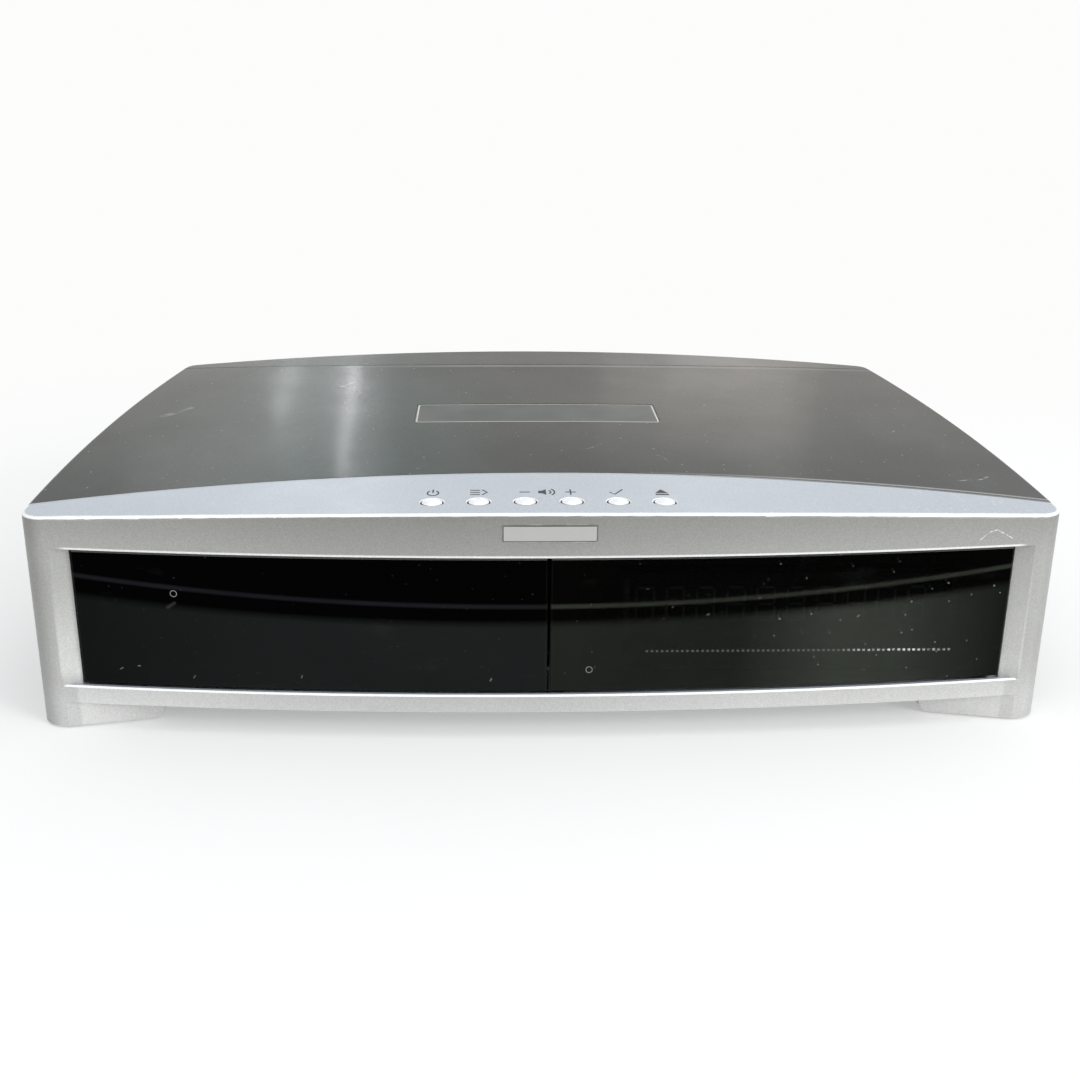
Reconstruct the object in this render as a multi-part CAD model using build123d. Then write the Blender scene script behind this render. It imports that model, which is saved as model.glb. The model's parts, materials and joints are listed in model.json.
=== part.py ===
"""Home theater media console: a disc tray behind a folding door, a display window and six top buttons.

Millimetres. +X is to the right, +Y to the back and +Z up. The origin is on the surface that the console
stands on, under the middle of its outline.
"""
import os
from math import asin, cos, degrees, hypot, pi, radians, sin, sqrt, tan

from build123d import *

# Outline in plan: four large arcs
WIDTH = 376.0
DEPTH = 268.0
FRONT_RADIUS = 1380.0
SIDE_RADIUS = 1173.0
REAR_BOW = 33.65
WIDEST_BACK = 48.0
FRONT_CORNER = 10.0
REAR_CORNER = 7.0

# Crowned top
HEIGHT = 88.0
FRONT_DROP = 0.7
FRONT_CROWN = 5.4
REAR_CROWN = 2.6
CREASE_FROM_REAR = 36.0
REAR_FALL = 0.7
CREASE_GROOVE = 0.7
CREASE_DEEP = 0.3

# Front bezel
BEZEL_WALL = 2.0
DECK_T = 2.4
LIP_RADIUS = 1.6
DECK_DEPTH = 48.0
DECK_END_DEPTH = 27.0
PILLAR_FACE = 17.4
OPENING_BOTTOM = 17.6
BAND_HEIGHT = 17.2
EDGE_BEVEL = 0.6
RAIL_BOTTOM = 10.8
RAIL_SHELF_T = 2.2
PILLAR_DEPTH = 30.0
PILLAR_WALL = 2.6
RETURN_WIDTH = 6.4
RETURN_DEPTH = 3.0
FOOT_REACH = 34.0
FOOT_SETBACK = 6.8
FOOT_THICK = 12.0
FOOT_ROUND = 4.0
PAD_T = 0.8
PAD_DEPTH = 6.0
BADGE_WIDTH = 33.4
BADGE_HEIGHT = 6.2
BADGE_DEEP = 0.6
BADGE_T = 0.9

# Cover, base pan and rear panel
COVER_T = 1.6
COVER_BOTTOM = 11.6
COVER_EDGE = 1.4
COVER_GAP = 0.5
HOOD_LIP = 6.0
HOOD_SIDE = 10.0
PLAQUE_WIDTH = 106.0
PLAQUE_DEPTH = 31.0
PLAQUE_FROM_FRONT = 122.0
PLAQUE_DEEP = 0.5
PLAQUE_ROUND = 2.0
PAN_T = 1.2
PAN_GAP = 0.4
PAN_FLANGE = 14.0
PAN_REAR_FLANGE = 6.0
VENT_LENGTH = 34.0
VENT_WIDTH = 3.0
VENT_PITCH = 8.0
VENT_COUNT = 8
VENT_FROM_FRONT = 50.0
VENT_FROM_BACK = 48.0
HOOD_REACH = 39.0
REAR_PANEL_T = 1.2
REAR_VENT_HEIGHT = 26.0
REAR_VENT_COUNT = 16
PUCK_R = 11.0
PUCK_FROM_SIDE = 38.0
PUCK_FROM_REAR = 58.0
SCREW_R = 1.5
SCREW_HEAD_R = 2.9
SCREW_HEAD_T = 1.7
SCREW_LENGTH = 4.0
SCREW_CLEARANCE = 0.25

# Door and display window
PANEL_RECESS = 1.5
PANEL_T = 2.6
PANEL_GAP = 0.8
SEAM_GAP = 1.0
PANEL_BEVEL = 0.5
HINGE_RISE = 7.0
HINGE_BACK = 2.0
HINGE_PIN_R = 1.0
HINGE_PIN_LENGTH = 6.2
HINGE_EAR_R = 2.4
HINGE_EAR_T = 3.0
HINGE_BRACKET_T = 1.8
HINGE_SIDE_GAP = 0.5
RUNNING = 0.03

# Buttons
BUTTON_NAMES = ("power", "source", "volume_down", "volume_up", "enter", "eject")
BUTTON_PITCH = 16.6
BUTTON_FROM_FRONT = 13.7
BUTTON_R = 3.65
BUTTON_HOLE_R = 4.2
BUTTON_HOLE_BEVEL = 0.35
BUTTON_DOME = 1.1
BUTTON_FLANGE_R = 5.2
BUTTON_FLANGE_T = 1.2
BUTTON_TRAVEL = 0.8
STEM_R = 1.8
SWITCH_SIZE = 6.0
SWITCH_T = 2.9
SWITCH_SLACK = 0.15
BUTTON_BOARD_WIDTH = 118.0
BUTTON_BOARD_DEPTH = 15.0
BOARD_T = 1.6
BOSS_R = 2.4

# Disc tray
TRAY_WIDTH = 128.0
TRAY_T = 5.6
TRAY_UNDER_BAND = 0.6
TRAY_FROM_FRONT = 42.5
TRAY_REAR_GAP = 4.0
TRAY_HELD = 10.5
TRAY_SIDE_GAP = 4.0
WELL_R = 61.0
WELL_DEEP = 2.0
SMALL_WELL_R = 41.5
SMALL_WELL_DEEP = 1.4
WELL_MARGIN = 4.0
TRAY_SLOT = 38.0
TRAY_SLOT_BACK = 68.0
GROOVE_DEEP = 1.2
GUIDE_WIDTH = 3.0
GUIDE_INSET = 5.0
GUIDE_SIDE_GAP = 0.3
GUIDE_TOP_GAP = 0.25

# Tray drive
MODULE = 1.0
PINION_TEETH = 16
PRESSURE_ANGLE = 20.0
BACKLASH = 0.28
PINION_FROM_FRONT = 6.5
GEAR_T = 5.0
PULLEY_R = 10.0
PULLEY_T = 2.6
MOTOR_PULLEY_R = 4.5
PULLEY_GROOVE = 1.0
BELT = 1.0
BELT_GAP = 0.1
BELT_CENTERS = 36.0
SHAFT_R = 1.5
HUB_R = 3.6
LOADING_MOTOR_R = 10.0
LOADING_MOTOR_H = 22.0

# Loader frame
LOADER_FROM_SIDE = 17.0
LOADER_FROM_FRONT = 34.0
LOADER_REAR_GAP = 7.0
PINION_ROOM = 22.0
LOADER_WALL = 2.0
LOADER_OVER_TRAY = 5.8
DECK_UNDER_TRAY = 8.6
LOADER_DECK_T = 2.0
LOADER_LEG = 16.0
LOADER_FOOT = 11.0
LOADER_FOOT_T = 2.0
TAB_T = 2.0
TAB_GAP = 0.4
BRIDGE_T = 1.4
BRIDGE_DEPTH = 34.0
CLAMPER_R = 15.0
CLAMPER_NECK_R = 11.0
CLAMPER_PLAY = 0.5
CLAMPER_FLANGE_T = 1.6

# Disc drive under the tray
DRIVE_HALF_WIDTH = 41.0
DRIVE_AHEAD = 35.5
DRIVE_BEHIND = 92.5
DRIVE_UNDER_DECK = 12.0
DRIVE_PLATE_T = 2.0
DECK_HOLE_HALF = 32.0
GROMMET_R = 3.2
GROMMET_INSET = 4.5
SPINDLE_MOTOR_R = 13.0
SPINDLE_MOTOR_H = 8.0
TURNTABLE_R = 15.0
TURNTABLE_T = 2.2
TURNTABLE_UNDER_TRAY = 4.6
TURNTABLE_CONE_R = 7.2
TURNTABLE_CONE_H = 1.9
SLED_WIDTH = 42.0
SLED_LENGTH = 17.0
SLED_OVER_PLATE = 5.0
SLED_H = 7.5
SLED_START = 24.0
SLED_TRAVEL = 34.0
ROD_R = 1.5
ROD_X = 16.0
ROD_RISE = 3.0
LENS_R = 3.0
LENS_H = 1.6
LEAD_X = 26.0
LEAD_R = 1.5
LEAD_PITCH = 2.0
SLED_MOTOR_R = 6.0
SLED_MOTOR_LENGTH = 13.0

# Display
TUBE_LEFT = 28.0
TUBE_END_GAP = 13.0
TUBE_BOTTOM = 28.0
TUBE_HEIGHT = 31.0
TUBE_DEEP = 8.0
DISPLAY_FROM_FRONT = 24.0
DISPLAY_BOARD_LEFT = 14.0
BOARDS_FROM_SIDE = 23.0
BOARD_UNDER_BAND = 4.8
DISPLAY_POST = 6.0
RECEIVER_SIZE = 6.0

# Main board and what it carries
MAIN_SIDE_GAP = 7.0
MAIN_FROM_FRONT = 34.0
MAIN_REAR_GAP = 7.0
STANDOFF_H = 6.0
STANDOFF_R = 3.0
STANDOFF_INSET = 6.0
CHIP_T = 2.4
SINK_WIDTH = 46.0
SINK_DEPTH = 38.0
SINK_H = 18.0
SINK_BASE = 3.0
SINK_FINS = 8
SINK_FIN_T = 1.4
SOCKET_GAP = 0.2
SOCKET_ROW_INSET = 1.0
SOCKET_BLOCK_DEEP = 14.0
JACK_WIDTH = 24.0
JACK_HEIGHT = 42.0
JACK_DEEP = 12.0
JACK_PITCH_X = 14.0
JACK_PITCH_Z = 18.0
JACK_LOW_Z = 30.0
JACK_SLEEVE_R = 4.15
JACK_BORE_R = 3.2
JACK_LENGTH = 10.4
JACK_BLOCKS = 2
TUNER_WIDTH = 20.0
TUNER_DEEP = 44.0
TUNER_HEIGHT = 24.0
AERIAL_R = 4.7
AERIAL_Z = 34.0
VIDEO_BLOCK = 15.0
VIDEO_R = 6.2
VIDEO_Z = 30.0
LINK_BLOCK = 22.0
LINK_R = 10.0
LINK_Z = 34.0
PIN_HOLE_R = 0.8
SQUARE_HEIGHT = 12.0
OPTICAL_WIDTH = 12.0
POWER_WIDTH = 14.0
SQUARE_Z = 27.0
PANEL_HOLE_GAP = 0.8
RIBBON_T = 0.4
RIBBON_WIDTH = 14.0
HEADER_T = 4.0
HEADER_H = 5.0
HEADER_INSET = 6.0

# Derived places
HALF = WIDTH / 2
FRONT_Y = -DEPTH / 2
REAR_Y = DEPTH / 2
FRONT_CENTER = FRONT_Y + FRONT_RADIUS
SIDE_CENTER_X = HALF - SIDE_RADIUS
SIDE_CENTER_Y = FRONT_Y + WIDEST_BACK
REAR_RADIUS = (HALF**2 + REAR_BOW**2) / (2 * REAR_BOW)
REAR_CENTER = REAR_Y - REAR_RADIUS
CREASE_Y = REAR_Y - CREASE_FROM_REAR
REAR_PANEL_Y = REAR_Y - HOOD_REACH
PUCK_X = HALF - PUCK_FROM_SIDE
PUCK_Y = REAR_Y - PUCK_FROM_REAR
DECK_SAG = DECK_DEPTH - DECK_END_DEPTH
DECK_RADIUS = (HALF**2 + DECK_SAG**2) / (2 * DECK_SAG)
DECK_CENTER = FRONT_Y + DECK_DEPTH - DECK_RADIUS
OPENING_HALF = HALF - PILLAR_FACE
OPENING_TOP = HEIGHT - BAND_HEIGHT
PILLAR_BACK = FRONT_Y + PILLAR_DEPTH
PAN_TOP = RAIL_BOTTOM + PAN_T
SHELF_TOP = PAN_TOP + RAIL_SHELF_T
PANEL_FRONT_R = FRONT_RADIUS - PANEL_RECESS
PANEL_BACK_R = PANEL_FRONT_R - PANEL_T
PANEL_BOTTOM = OPENING_BOTTOM + PANEL_GAP
PANEL_TOP = OPENING_TOP - PANEL_GAP
PANEL_END = OPENING_HALF - PANEL_GAP
LOADER_LEFT = LOADER_FROM_SIDE - HALF
LOADER_FRONT = FRONT_Y + LOADER_FROM_FRONT
LOADER_BACK = REAR_PANEL_Y - LOADER_REAR_GAP
TRAY_TOP = OPENING_TOP - TRAY_UNDER_BAND
TRAY_BOTTOM = TRAY_TOP - TRAY_T
TRAY_LEFT = LOADER_LEFT + PINION_ROOM
TRAY_RIGHT = TRAY_LEFT + TRAY_WIDTH
TRAY_CENTER_X = (TRAY_LEFT + TRAY_RIGHT) / 2
TRAY_FRONT = FRONT_Y + TRAY_FROM_FRONT
TRAY_BACK = LOADER_BACK - TRAY_REAR_GAP
TRAY_TRAVEL = TRAY_BACK - TRAY_FRONT - TRAY_HELD
LOADER_RIGHT = TRAY_RIGHT + TRAY_SIDE_GAP
LOADER_TOP = TRAY_TOP + LOADER_OVER_TRAY
LOADER_DECK_Z = TRAY_BOTTOM - DECK_UNDER_TRAY
WELL_Y = TRAY_FRONT + WELL_MARGIN + WELL_R
DECK_TOP = LOADER_DECK_Z + LOADER_DECK_T
PITCH_R = MODULE * PINION_TEETH / 2
PINION_X = TRAY_LEFT - 1.25 * MODULE - PITCH_R
PINION_Y = TRAY_FRONT + PINION_FROM_FRONT
MOTOR_Y = PINION_Y + BELT_CENTERS
DRIVE_FRONT = WELL_Y - DRIVE_AHEAD
DRIVE_BACK = WELL_Y + DRIVE_BEHIND
DRIVE_PLATE_Z = LOADER_DECK_Z - DRIVE_UNDER_DECK
DRIVE_TOP = DRIVE_PLATE_Z + DRIVE_PLATE_T
TURNTABLE_Z = TRAY_BOTTOM - TURNTABLE_UNDER_TRAY
SLED_Z = DRIVE_PLATE_Z + SLED_OVER_PLATE
ROD_Z = SLED_Z + ROD_RISE
SLED_Y = WELL_Y + SLED_START
DISPLAY_BOARD_Y = FRONT_Y + DISPLAY_FROM_FRONT
DISPLAY_BOARD_RIGHT = HALF - BOARDS_FROM_SIDE
DISPLAY_BOARD_TOP = OPENING_TOP - BOARD_UNDER_BAND
TUBE_RIGHT = DISPLAY_BOARD_RIGHT - TUBE_END_GAP
MAIN_LEFT = LOADER_RIGHT + MAIN_SIDE_GAP
MAIN_RIGHT = HALF - BOARDS_FROM_SIDE
MAIN_FRONT = FRONT_Y + MAIN_FROM_FRONT
MAIN_BACK = REAR_PANEL_Y - MAIN_REAR_GAP
MAIN_Z = PAN_TOP + STANDOFF_H
MAIN_TOP = MAIN_Z + BOARD_T
SOCKET_FACE = REAR_PANEL_Y - SOCKET_GAP


def block(x0, x1, y0, y1, z0, z1):
    """Box between two corners."""
    return Pos((x0 + x1) / 2, (y0 + y1) / 2, (z0 + z1) / 2) * Box(x1 - x0, y1 - y0, z1 - z0)


def post(x, y, z0, z1, r):
    """Upright cylinder."""
    return Pos(x, y, (z0 + z1) / 2) * Cylinder(r, z1 - z0)


def rod_x(y, z, x0, x1, r):
    """Cylinder along X."""
    return Pos((x0 + x1) / 2, y, z) * Rot(0, 90, 0) * Cylinder(r, x1 - x0)


def rod_y(x, z, y0, y1, r):
    """Cylinder along Y."""
    return Pos(x, (y0 + y1) / 2, z) * Rot(90, 0, 0) * Cylinder(r, y1 - y0)


def prism(face, z0, z1):
    """Upright prism of a plan face."""
    return extrude(Pos(0, 0, z0) * face, z1 - z0)


def meet(c1, r1, c2, r2, near):
    """Crossing of two circles, the one nearer to a given point."""
    dx, dy = c2[0] - c1[0], c2[1] - c1[1]
    d = hypot(dx, dy)
    along = (r1**2 - r2**2 + d**2) / (2 * d)
    across = sqrt(r1**2 - along**2)
    bx, by = c1[0] + along * dx / d, c1[1] + along * dy / d
    found = [(bx - s * across * dy / d, by + s * across * dx / d) for s in (-1, 1)]
    return min(found, key=lambda p: hypot(p[0] - near[0], p[1] - near[1]))


def row_middles(widths, start, end):
    """Middles of pieces of given widths, set evenly between two ends."""
    gap = (end - start - sum(widths)) / (len(widths) - 1)
    return [start + sum(widths[:i]) + i * gap + wide / 2 for i, wide in enumerate(widths)]


def arc_y(x, radius, center, side):
    """Height in Y of a large arc at x: side is -1 for its front, 1 for its rear."""
    return center + side * sqrt(radius**2 - x**2)


def side_x(y, inset=0.0):
    """Half width of the outline at y."""
    return SIDE_CENTER_X + sqrt((SIDE_RADIUS - inset) ** 2 - (y - SIDE_CENTER_Y) ** 2)


def outline(inset=0.0):
    """Plan of the console, drawn in by inset."""
    front = ((0, FRONT_CENTER), FRONT_RADIUS - inset)
    side = ((SIDE_CENTER_X, SIDE_CENTER_Y), SIDE_RADIUS - inset)
    rear = ((0, REAR_CENTER), REAR_RADIUS - inset)
    fx, fy = meet(*front, *side, (HALF, FRONT_Y))
    rx, ry = meet(*rear, *side, (HALF, REAR_Y))
    wide = HALF - inset
    face = make_face([
        ThreePointArc((-fx, fy), (0, FRONT_Y + inset), (fx, fy)),
        ThreePointArc((fx, fy), (wide, SIDE_CENTER_Y), (rx, ry)),
        ThreePointArc((rx, ry), (0, REAR_Y - inset), (-rx, ry)),
        ThreePointArc((-rx, ry), (-wide, SIDE_CENTER_Y), (-fx, fy)),
    ])
    corners = face.vertices()
    face = fillet(corners.filter_by(lambda v: v.Y < 0), FRONT_CORNER - inset)
    return fillet(face.vertices().filter_by(lambda v: abs(v.Y - ry) < 0.01), REAR_CORNER - inset)


def crown_section(y, drop):
    """Upright section of the space under the crowned top at y."""
    along = (y - FRONT_Y) / (CREASE_Y - FRONT_Y)
    top = HEIGHT - FRONT_DROP * (1 - along) - drop
    fall = FRONT_CROWN + (REAR_CROWN - FRONT_CROWN) * along
    if y > CREASE_Y:
        fall = REAR_CROWN
        top = HEIGHT - REAR_FALL * (y - CREASE_Y) / (REAR_Y - CREASE_Y) - drop
    left = Vector(-HALF, y, top - fall)
    right = Vector(HALF, y, top - fall)
    low_left = Vector(-HALF, y, 0)
    low_right = Vector(HALF, y, 0)
    return Face(Wire([
        Line(low_left, left).edge(),
        ThreePointArc(left, Vector(0, y, top), right).edge(),
        Line(right, low_right).edge(),
        Line(low_right, low_left).edge(),
    ]))


def under_crown(drop=0.0):
    """Space under the crowned top, lowered by drop: two ruled lengths that meet at the crease."""
    front = loft([crown_section(FRONT_Y - 1, drop), crown_section(CREASE_Y, drop)], ruled=True)
    rear = loft([crown_section(CREASE_Y, drop), crown_section(REAR_Y + 1, drop)], ruled=True)
    return front + rear


def top_z(x, y):
    """Height of the crowned top ahead of the crease."""
    along = (y - FRONT_Y) / (CREASE_Y - FRONT_Y)
    fall = FRONT_CROWN + (REAR_CROWN - FRONT_CROWN) * along
    return HEIGHT - FRONT_DROP * (1 - along) - fall * (x / HALF) ** 2


def front_strip(outer_r, inner_r, x0, x1, z0, z1):
    """Curved strip that follows the front, between two radii."""
    ring = post(0, FRONT_CENTER, z0, z1, outer_r) - post(0, FRONT_CENTER, z0, z1, inner_r)
    return ring & block(x0, x1, FRONT_Y - 1, 0, z0, z1)


def deck_disc(grow=0.0):
    """Everything ahead of the curved rear edge of the front deck."""
    return post(0, DECK_CENTER, 0, HEIGHT + 2, DECK_RADIUS + grow)


def rim(solid, y0, y1):
    """Upper outline edges of a solid whose middles lie between two depths."""
    inside = outline(0.3).face()

    def on_rim(edge):
        middle = edge.position_at(0.5)
        ends_high = min(edge.position_at(0).Z, edge.position_at(1).Z) > HEIGHT - 2 * FRONT_CROWN
        return ends_high and y0 < middle.Y < y1 and not inside.is_inside(Vector(middle.X, middle.Y, 0))

    return solid.edges().filter_by(on_rim)


def foot(side):
    """One front foot: a wedge from the pillar that recedes inwards behind the rail."""
    crease_x = OPENING_HALF + RETURN_WIDTH
    inner_x = crease_x - FOOT_REACH
    crease_y = arc_y(crease_x, FRONT_RADIUS, FRONT_CENTER, -1)
    face = make_face(Polyline(
        (side * crease_x, crease_y),
        (side * inner_x, crease_y + FOOT_SETBACK),
        (side * inner_x, crease_y + FOOT_SETBACK + FOOT_THICK),
        (side * (side_x(crease_y + FOOT_SETBACK + FOOT_THICK) - 1), crease_y + FOOT_SETBACK + FOOT_THICK),
        (side * (side_x(crease_y + FOOT_SETBACK + FOOT_THICK) - 1), crease_y + FRONT_CORNER),
        close=True,
    ))
    wedge = prism(face, PAD_T, RAIL_BOTTOM)
    lower = wedge.edges().filter_by(Axis.Y).filter_by(lambda e: e.center().Z < PAD_T + 0.01)
    return fillet(lower.sort_by(lambda e: abs(e.center().X))[0], FOOT_ROUND)


def make_bezel():
    """Front bezel: deck, lip, band, pillars, rail and front feet in one moulding."""
    body = prism(outline(), PAD_T, HEIGHT) & under_crown()
    body = body & block(-HALF, HALF, FRONT_Y - 1, 0, 0, HEIGHT)
    body = fillet(rim(body, FRONT_Y - 1, -5), LIP_RADIUS)
    body = body & deck_disc()
    inner = prism(outline(BEZEL_WALL), 0, HEIGHT) & under_crown(DECK_T)
    body -= inner & block(-OPENING_HALF, OPENING_HALF, FRONT_Y, 0, 0, HEIGHT)
    body -= block(-HALF, HALF, PILLAR_BACK, 0, 0, HEIGHT) & under_crown(DECK_T)
    body -= block(-OPENING_HALF, OPENING_HALF, FRONT_Y - 1, 0, OPENING_BOTTOM, OPENING_TOP)
    crease_x = OPENING_HALF + RETURN_WIDTH
    crease_y = arc_y(crease_x, FRONT_RADIUS, FRONT_CENTER, -1)
    edge_y = arc_y(OPENING_HALF, FRONT_RADIUS, FRONT_CENTER, -1) + RETURN_DEPTH
    for side in (-1, 1):
        recess = make_face(Polyline(
            (side * crease_x, crease_y),
            (side * (OPENING_HALF - 1), edge_y + RETURN_DEPTH / RETURN_WIDTH),
            (side * (OPENING_HALF - 1), FRONT_Y - 1),
            (side * crease_x, FRONT_Y - 1),
            close=True,
        ))
        body -= prism(recess, OPENING_BOTTOM, OPENING_TOP)
        pocket_x = sorted((side * (OPENING_HALF + PILLAR_WALL), side * (HALF - 3 * PILLAR_WALL)))
        body -= block(*pocket_x, PILLAR_BACK - PILLAR_DEPTH / 2, PILLAR_BACK + 1,
                      RAIL_BOTTOM + PILLAR_WALL, OPENING_TOP)
        body -= block(*pocket_x, PILLAR_BACK - 2, PILLAR_BACK + 1, 0, RAIL_BOTTOM + PILLAR_WALL)
    body -= block(-crease_x, crease_x, FRONT_Y - 1, PILLAR_BACK + 1, 0, RAIL_BOTTOM)
    bevel = block(-HALF, HALF, FRONT_Y - 1, FRONT_Y + 30, OPENING_BOTTOM - EDGE_BEVEL, OPENING_BOTTOM)
    bevel -= Pos(0, FRONT_CENTER, OPENING_BOTTOM - EDGE_BEVEL / 2) * Cone(
        FRONT_RADIUS, FRONT_RADIUS - EDGE_BEVEL, EDGE_BEVEL)
    body -= bevel & block(-crease_x, crease_x, FRONT_Y - 1, 0, 0, HEIGHT)
    shelf = prism(outline(BEZEL_WALL - 0.5), PAN_TOP, SHELF_TOP)
    body += shelf & block(-OPENING_HALF - 1, OPENING_HALF + 1, FRONT_Y, PILLAR_BACK, 0, HEIGHT)
    body += front_strip(PANEL_BACK_R, PANEL_BACK_R - 2, SEAM_GAP + 4, OPENING_HALF + 1,
                        PANEL_TOP - 1, OPENING_TOP + 2)
    body += front_strip(FRONT_RADIUS - 1, PANEL_BACK_R - 2, SEAM_GAP + 4, OPENING_HALF + 1,
                        OPENING_TOP, OPENING_TOP + 2)
    body += front_strip(PANEL_BACK_R, PANEL_BACK_R - 2, PANEL_END - 3, OPENING_HALF + 1,
                        SHELF_TOP - 1, OPENING_TOP + 2)
    for side in (-1, 1):
        body += foot(side)
        x = side * (BUTTON_BOARD_WIDTH / 2 - BOSS_R - 1)
        body += post(x, BUTTON_Y, BUTTON_BOARD_TOP, top_z(x, BUTTON_Y) - DECK_T + 0.5, BOSS_R)
    for x in BUTTON_XS:
        body -= post(x, BUTTON_Y, OPENING_TOP + 5, HEIGHT + 1, BUTTON_HOLE_R)
        z = top_z(x, BUTTON_Y)
        body -= Pos(x, BUTTON_Y, z) * Cone(BUTTON_HOLE_R - BUTTON_HOLE_BEVEL,
                                           BUTTON_HOLE_R + 3 * BUTTON_HOLE_BEVEL, 4 * BUTTON_HOLE_BEVEL)
    body -= front_strip(FRONT_RADIUS + 1, FRONT_RADIUS - BADGE_DEEP, -BADGE_WIDTH / 2, BADGE_WIDTH / 2,
                        BADGE_Z - BADGE_HEIGHT / 2, BADGE_Z + BADGE_HEIGHT / 2)
    body -= DOOR_PLACE * rod_x(0, 0, -DOOR_HALF - HINGE_PIN_LENGTH, -DOOR_HALF, HINGE_PIN_R + RUNNING)
    return body


def make_badge():
    """Plain badge plate let into the band."""
    gap = 0.1
    return front_strip(FRONT_RADIUS - BADGE_DEEP + BADGE_T, FRONT_RADIUS - BADGE_DEEP,
                       -BADGE_WIDTH / 2 + gap, BADGE_WIDTH / 2 - gap,
                       BADGE_Z - BADGE_HEIGHT / 2 + gap, BADGE_Z + BADGE_HEIGHT / 2 - gap)


def make_cover():
    """Top cover: crowned sheet with bowed sides and a hood over the sockets."""
    body = prism(outline(), COVER_BOTTOM, HEIGHT) & under_crown()
    body = fillet(rim(body, SIDE_CENTER_Y - 40, REAR_Y + 1), COVER_EDGE)
    inner = prism(outline(COVER_T), 0, HEIGHT) & under_crown(COVER_T)
    body -= inner
    body -= deck_disc(COVER_GAP)
    body -= block(-HALF, HALF, FRONT_Y - 1, PILLAR_BACK + COVER_GAP, 0, HEIGHT) & under_crown(DECK_T)
    hood_bottom = HEIGHT - REAR_FALL - COVER_T - HOOD_LIP
    body -= block(-HOOD_HALF, HOOD_HALF, REAR_PANEL_Y, REAR_Y + 1, 0, hood_bottom)
    groove = block(-HALF, HALF, CREASE_Y - CREASE_GROOVE / 2, CREASE_Y + CREASE_GROOVE / 2, 60, HEIGHT + 1)
    body -= groove - under_crown(CREASE_DEEP)
    plaque = Pos(0, PLAQUE_Y) * RectangleRounded(PLAQUE_WIDTH, PLAQUE_DEPTH, PLAQUE_ROUND)
    body -= prism(plaque, 60, HEIGHT + 1) - under_crown(PLAQUE_DEEP)
    return body


def make_plaque():
    """Plain thin plaque in the shallow recess of the cover."""
    gap = 0.15
    plate = Pos(0, PLAQUE_Y) * RectangleRounded(PLAQUE_WIDTH - 2 * gap, PLAQUE_DEPTH - 2 * gap, PLAQUE_ROUND)
    return (prism(plate, 60, HEIGHT + 1) & under_crown(PLAQUE_DEEP / 3)) - under_crown(PLAQUE_DEEP)


def make_pan():
    """Base pan: floor with side and rear flanges and two rows of vents."""
    inset = COVER_T + PAN_GAP
    back = block(-HALF, HALF, FRONT_Y - 1, REAR_PANEL_Y, 0, HEIGHT)
    body = prism(outline(inset), RAIL_BOTTOM, PAN_TOP + PAN_FLANGE) & back
    body -= prism(outline(inset + PAN_T), PAN_TOP, HEIGHT) & block(
        -HALF, HALF, FRONT_Y - 1, REAR_PANEL_Y - PAN_T, 0, HEIGHT)
    body -= block(-HALF, HALF, REAR_PANEL_Y - PAN_T - 1, REAR_Y, PAN_TOP + PAN_REAR_FLANGE, HEIGHT)
    body -= block(-HALF, HALF, FRONT_Y - 1, PILLAR_BACK + PAN_GAP, PAN_TOP, HEIGHT)
    front = prism(outline(), 0, HEIGHT) - prism(outline(BEZEL_WALL + PAN_GAP), 0, HEIGHT)
    body -= front & block(-HALF, HALF, FRONT_Y - 1, PILLAR_BACK, 0, HEIGHT)
    for side in (-1, 1):
        x = sorted((side * (OPENING_HALF - PAN_GAP), side * HALF))
        body -= block(*x, FRONT_Y - 1, PILLAR_BACK + PAN_GAP, 0, HEIGHT)
    for group_y in (VENT_ROW_FRONT, VENT_ROW_BACK):
        for i in range(VENT_COUNT):
            x = VENT_X + (i - (VENT_COUNT - 1) / 2) * VENT_PITCH
            slot = Pos(x, group_y) * Rot(0, 0, 90) * SlotOverall(VENT_LENGTH, VENT_WIDTH)
            body -= prism(slot, 0, PAN_TOP + 1)
    for x, y in LOADER_FEET:
        body -= post(x, y, 0, PAN_TOP + 1, SCREW_R + SCREW_CLEARANCE)
    for x in REAR_SCREW_XS:
        body -= rod_y(x, REAR_SCREW_Z, REAR_PANEL_Y - 5, REAR_Y, SCREW_R + SCREW_CLEARANCE)
    return body


def make_rear_panel():
    """Rear panel with a hole for each socket and a field of vents."""
    half = side_x(REAR_PANEL_Y + REAR_PANEL_T, COVER_T + PAN_GAP)
    body = block(-half, half, REAR_PANEL_Y, REAR_PANEL_Y + REAR_PANEL_T, RAIL_BOTTOM, HEIGHT)
    body = body & under_crown(COVER_T + PAN_GAP)
    for i in range(REAR_VENT_COUNT):
        x = REAR_VENT_X + (i - (REAR_VENT_COUNT - 1) / 2) * VENT_PITCH
        slot = Rot(90, 0, 0) * (Rot(0, 0, 90) * SlotOverall(REAR_VENT_HEIGHT, VENT_WIDTH))
        body -= Pos(x, REAR_PANEL_Y, REAR_VENT_Z) * extrude(slot, 2 * REAR_PANEL_T, both=True)
    for x, z, r in ROUND_SOCKETS:
        body -= rod_y(x, z, REAR_PANEL_Y - 1, REAR_Y, r + PANEL_HOLE_GAP)
    for x, z, wide, high in SQUARE_SOCKETS:
        body -= block(x - wide / 2 - PANEL_HOLE_GAP, x + wide / 2 + PANEL_HOLE_GAP, REAR_PANEL_Y - 1, REAR_Y,
                      z - high / 2 - PANEL_HOLE_GAP, z + high / 2 + PANEL_HOLE_GAP)
    for x in REAR_SCREW_XS:
        body -= rod_y(x, REAR_SCREW_Z, REAR_PANEL_Y - 5, REAR_Y, SCREW_R + SCREW_CLEARANCE)
    return body


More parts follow.
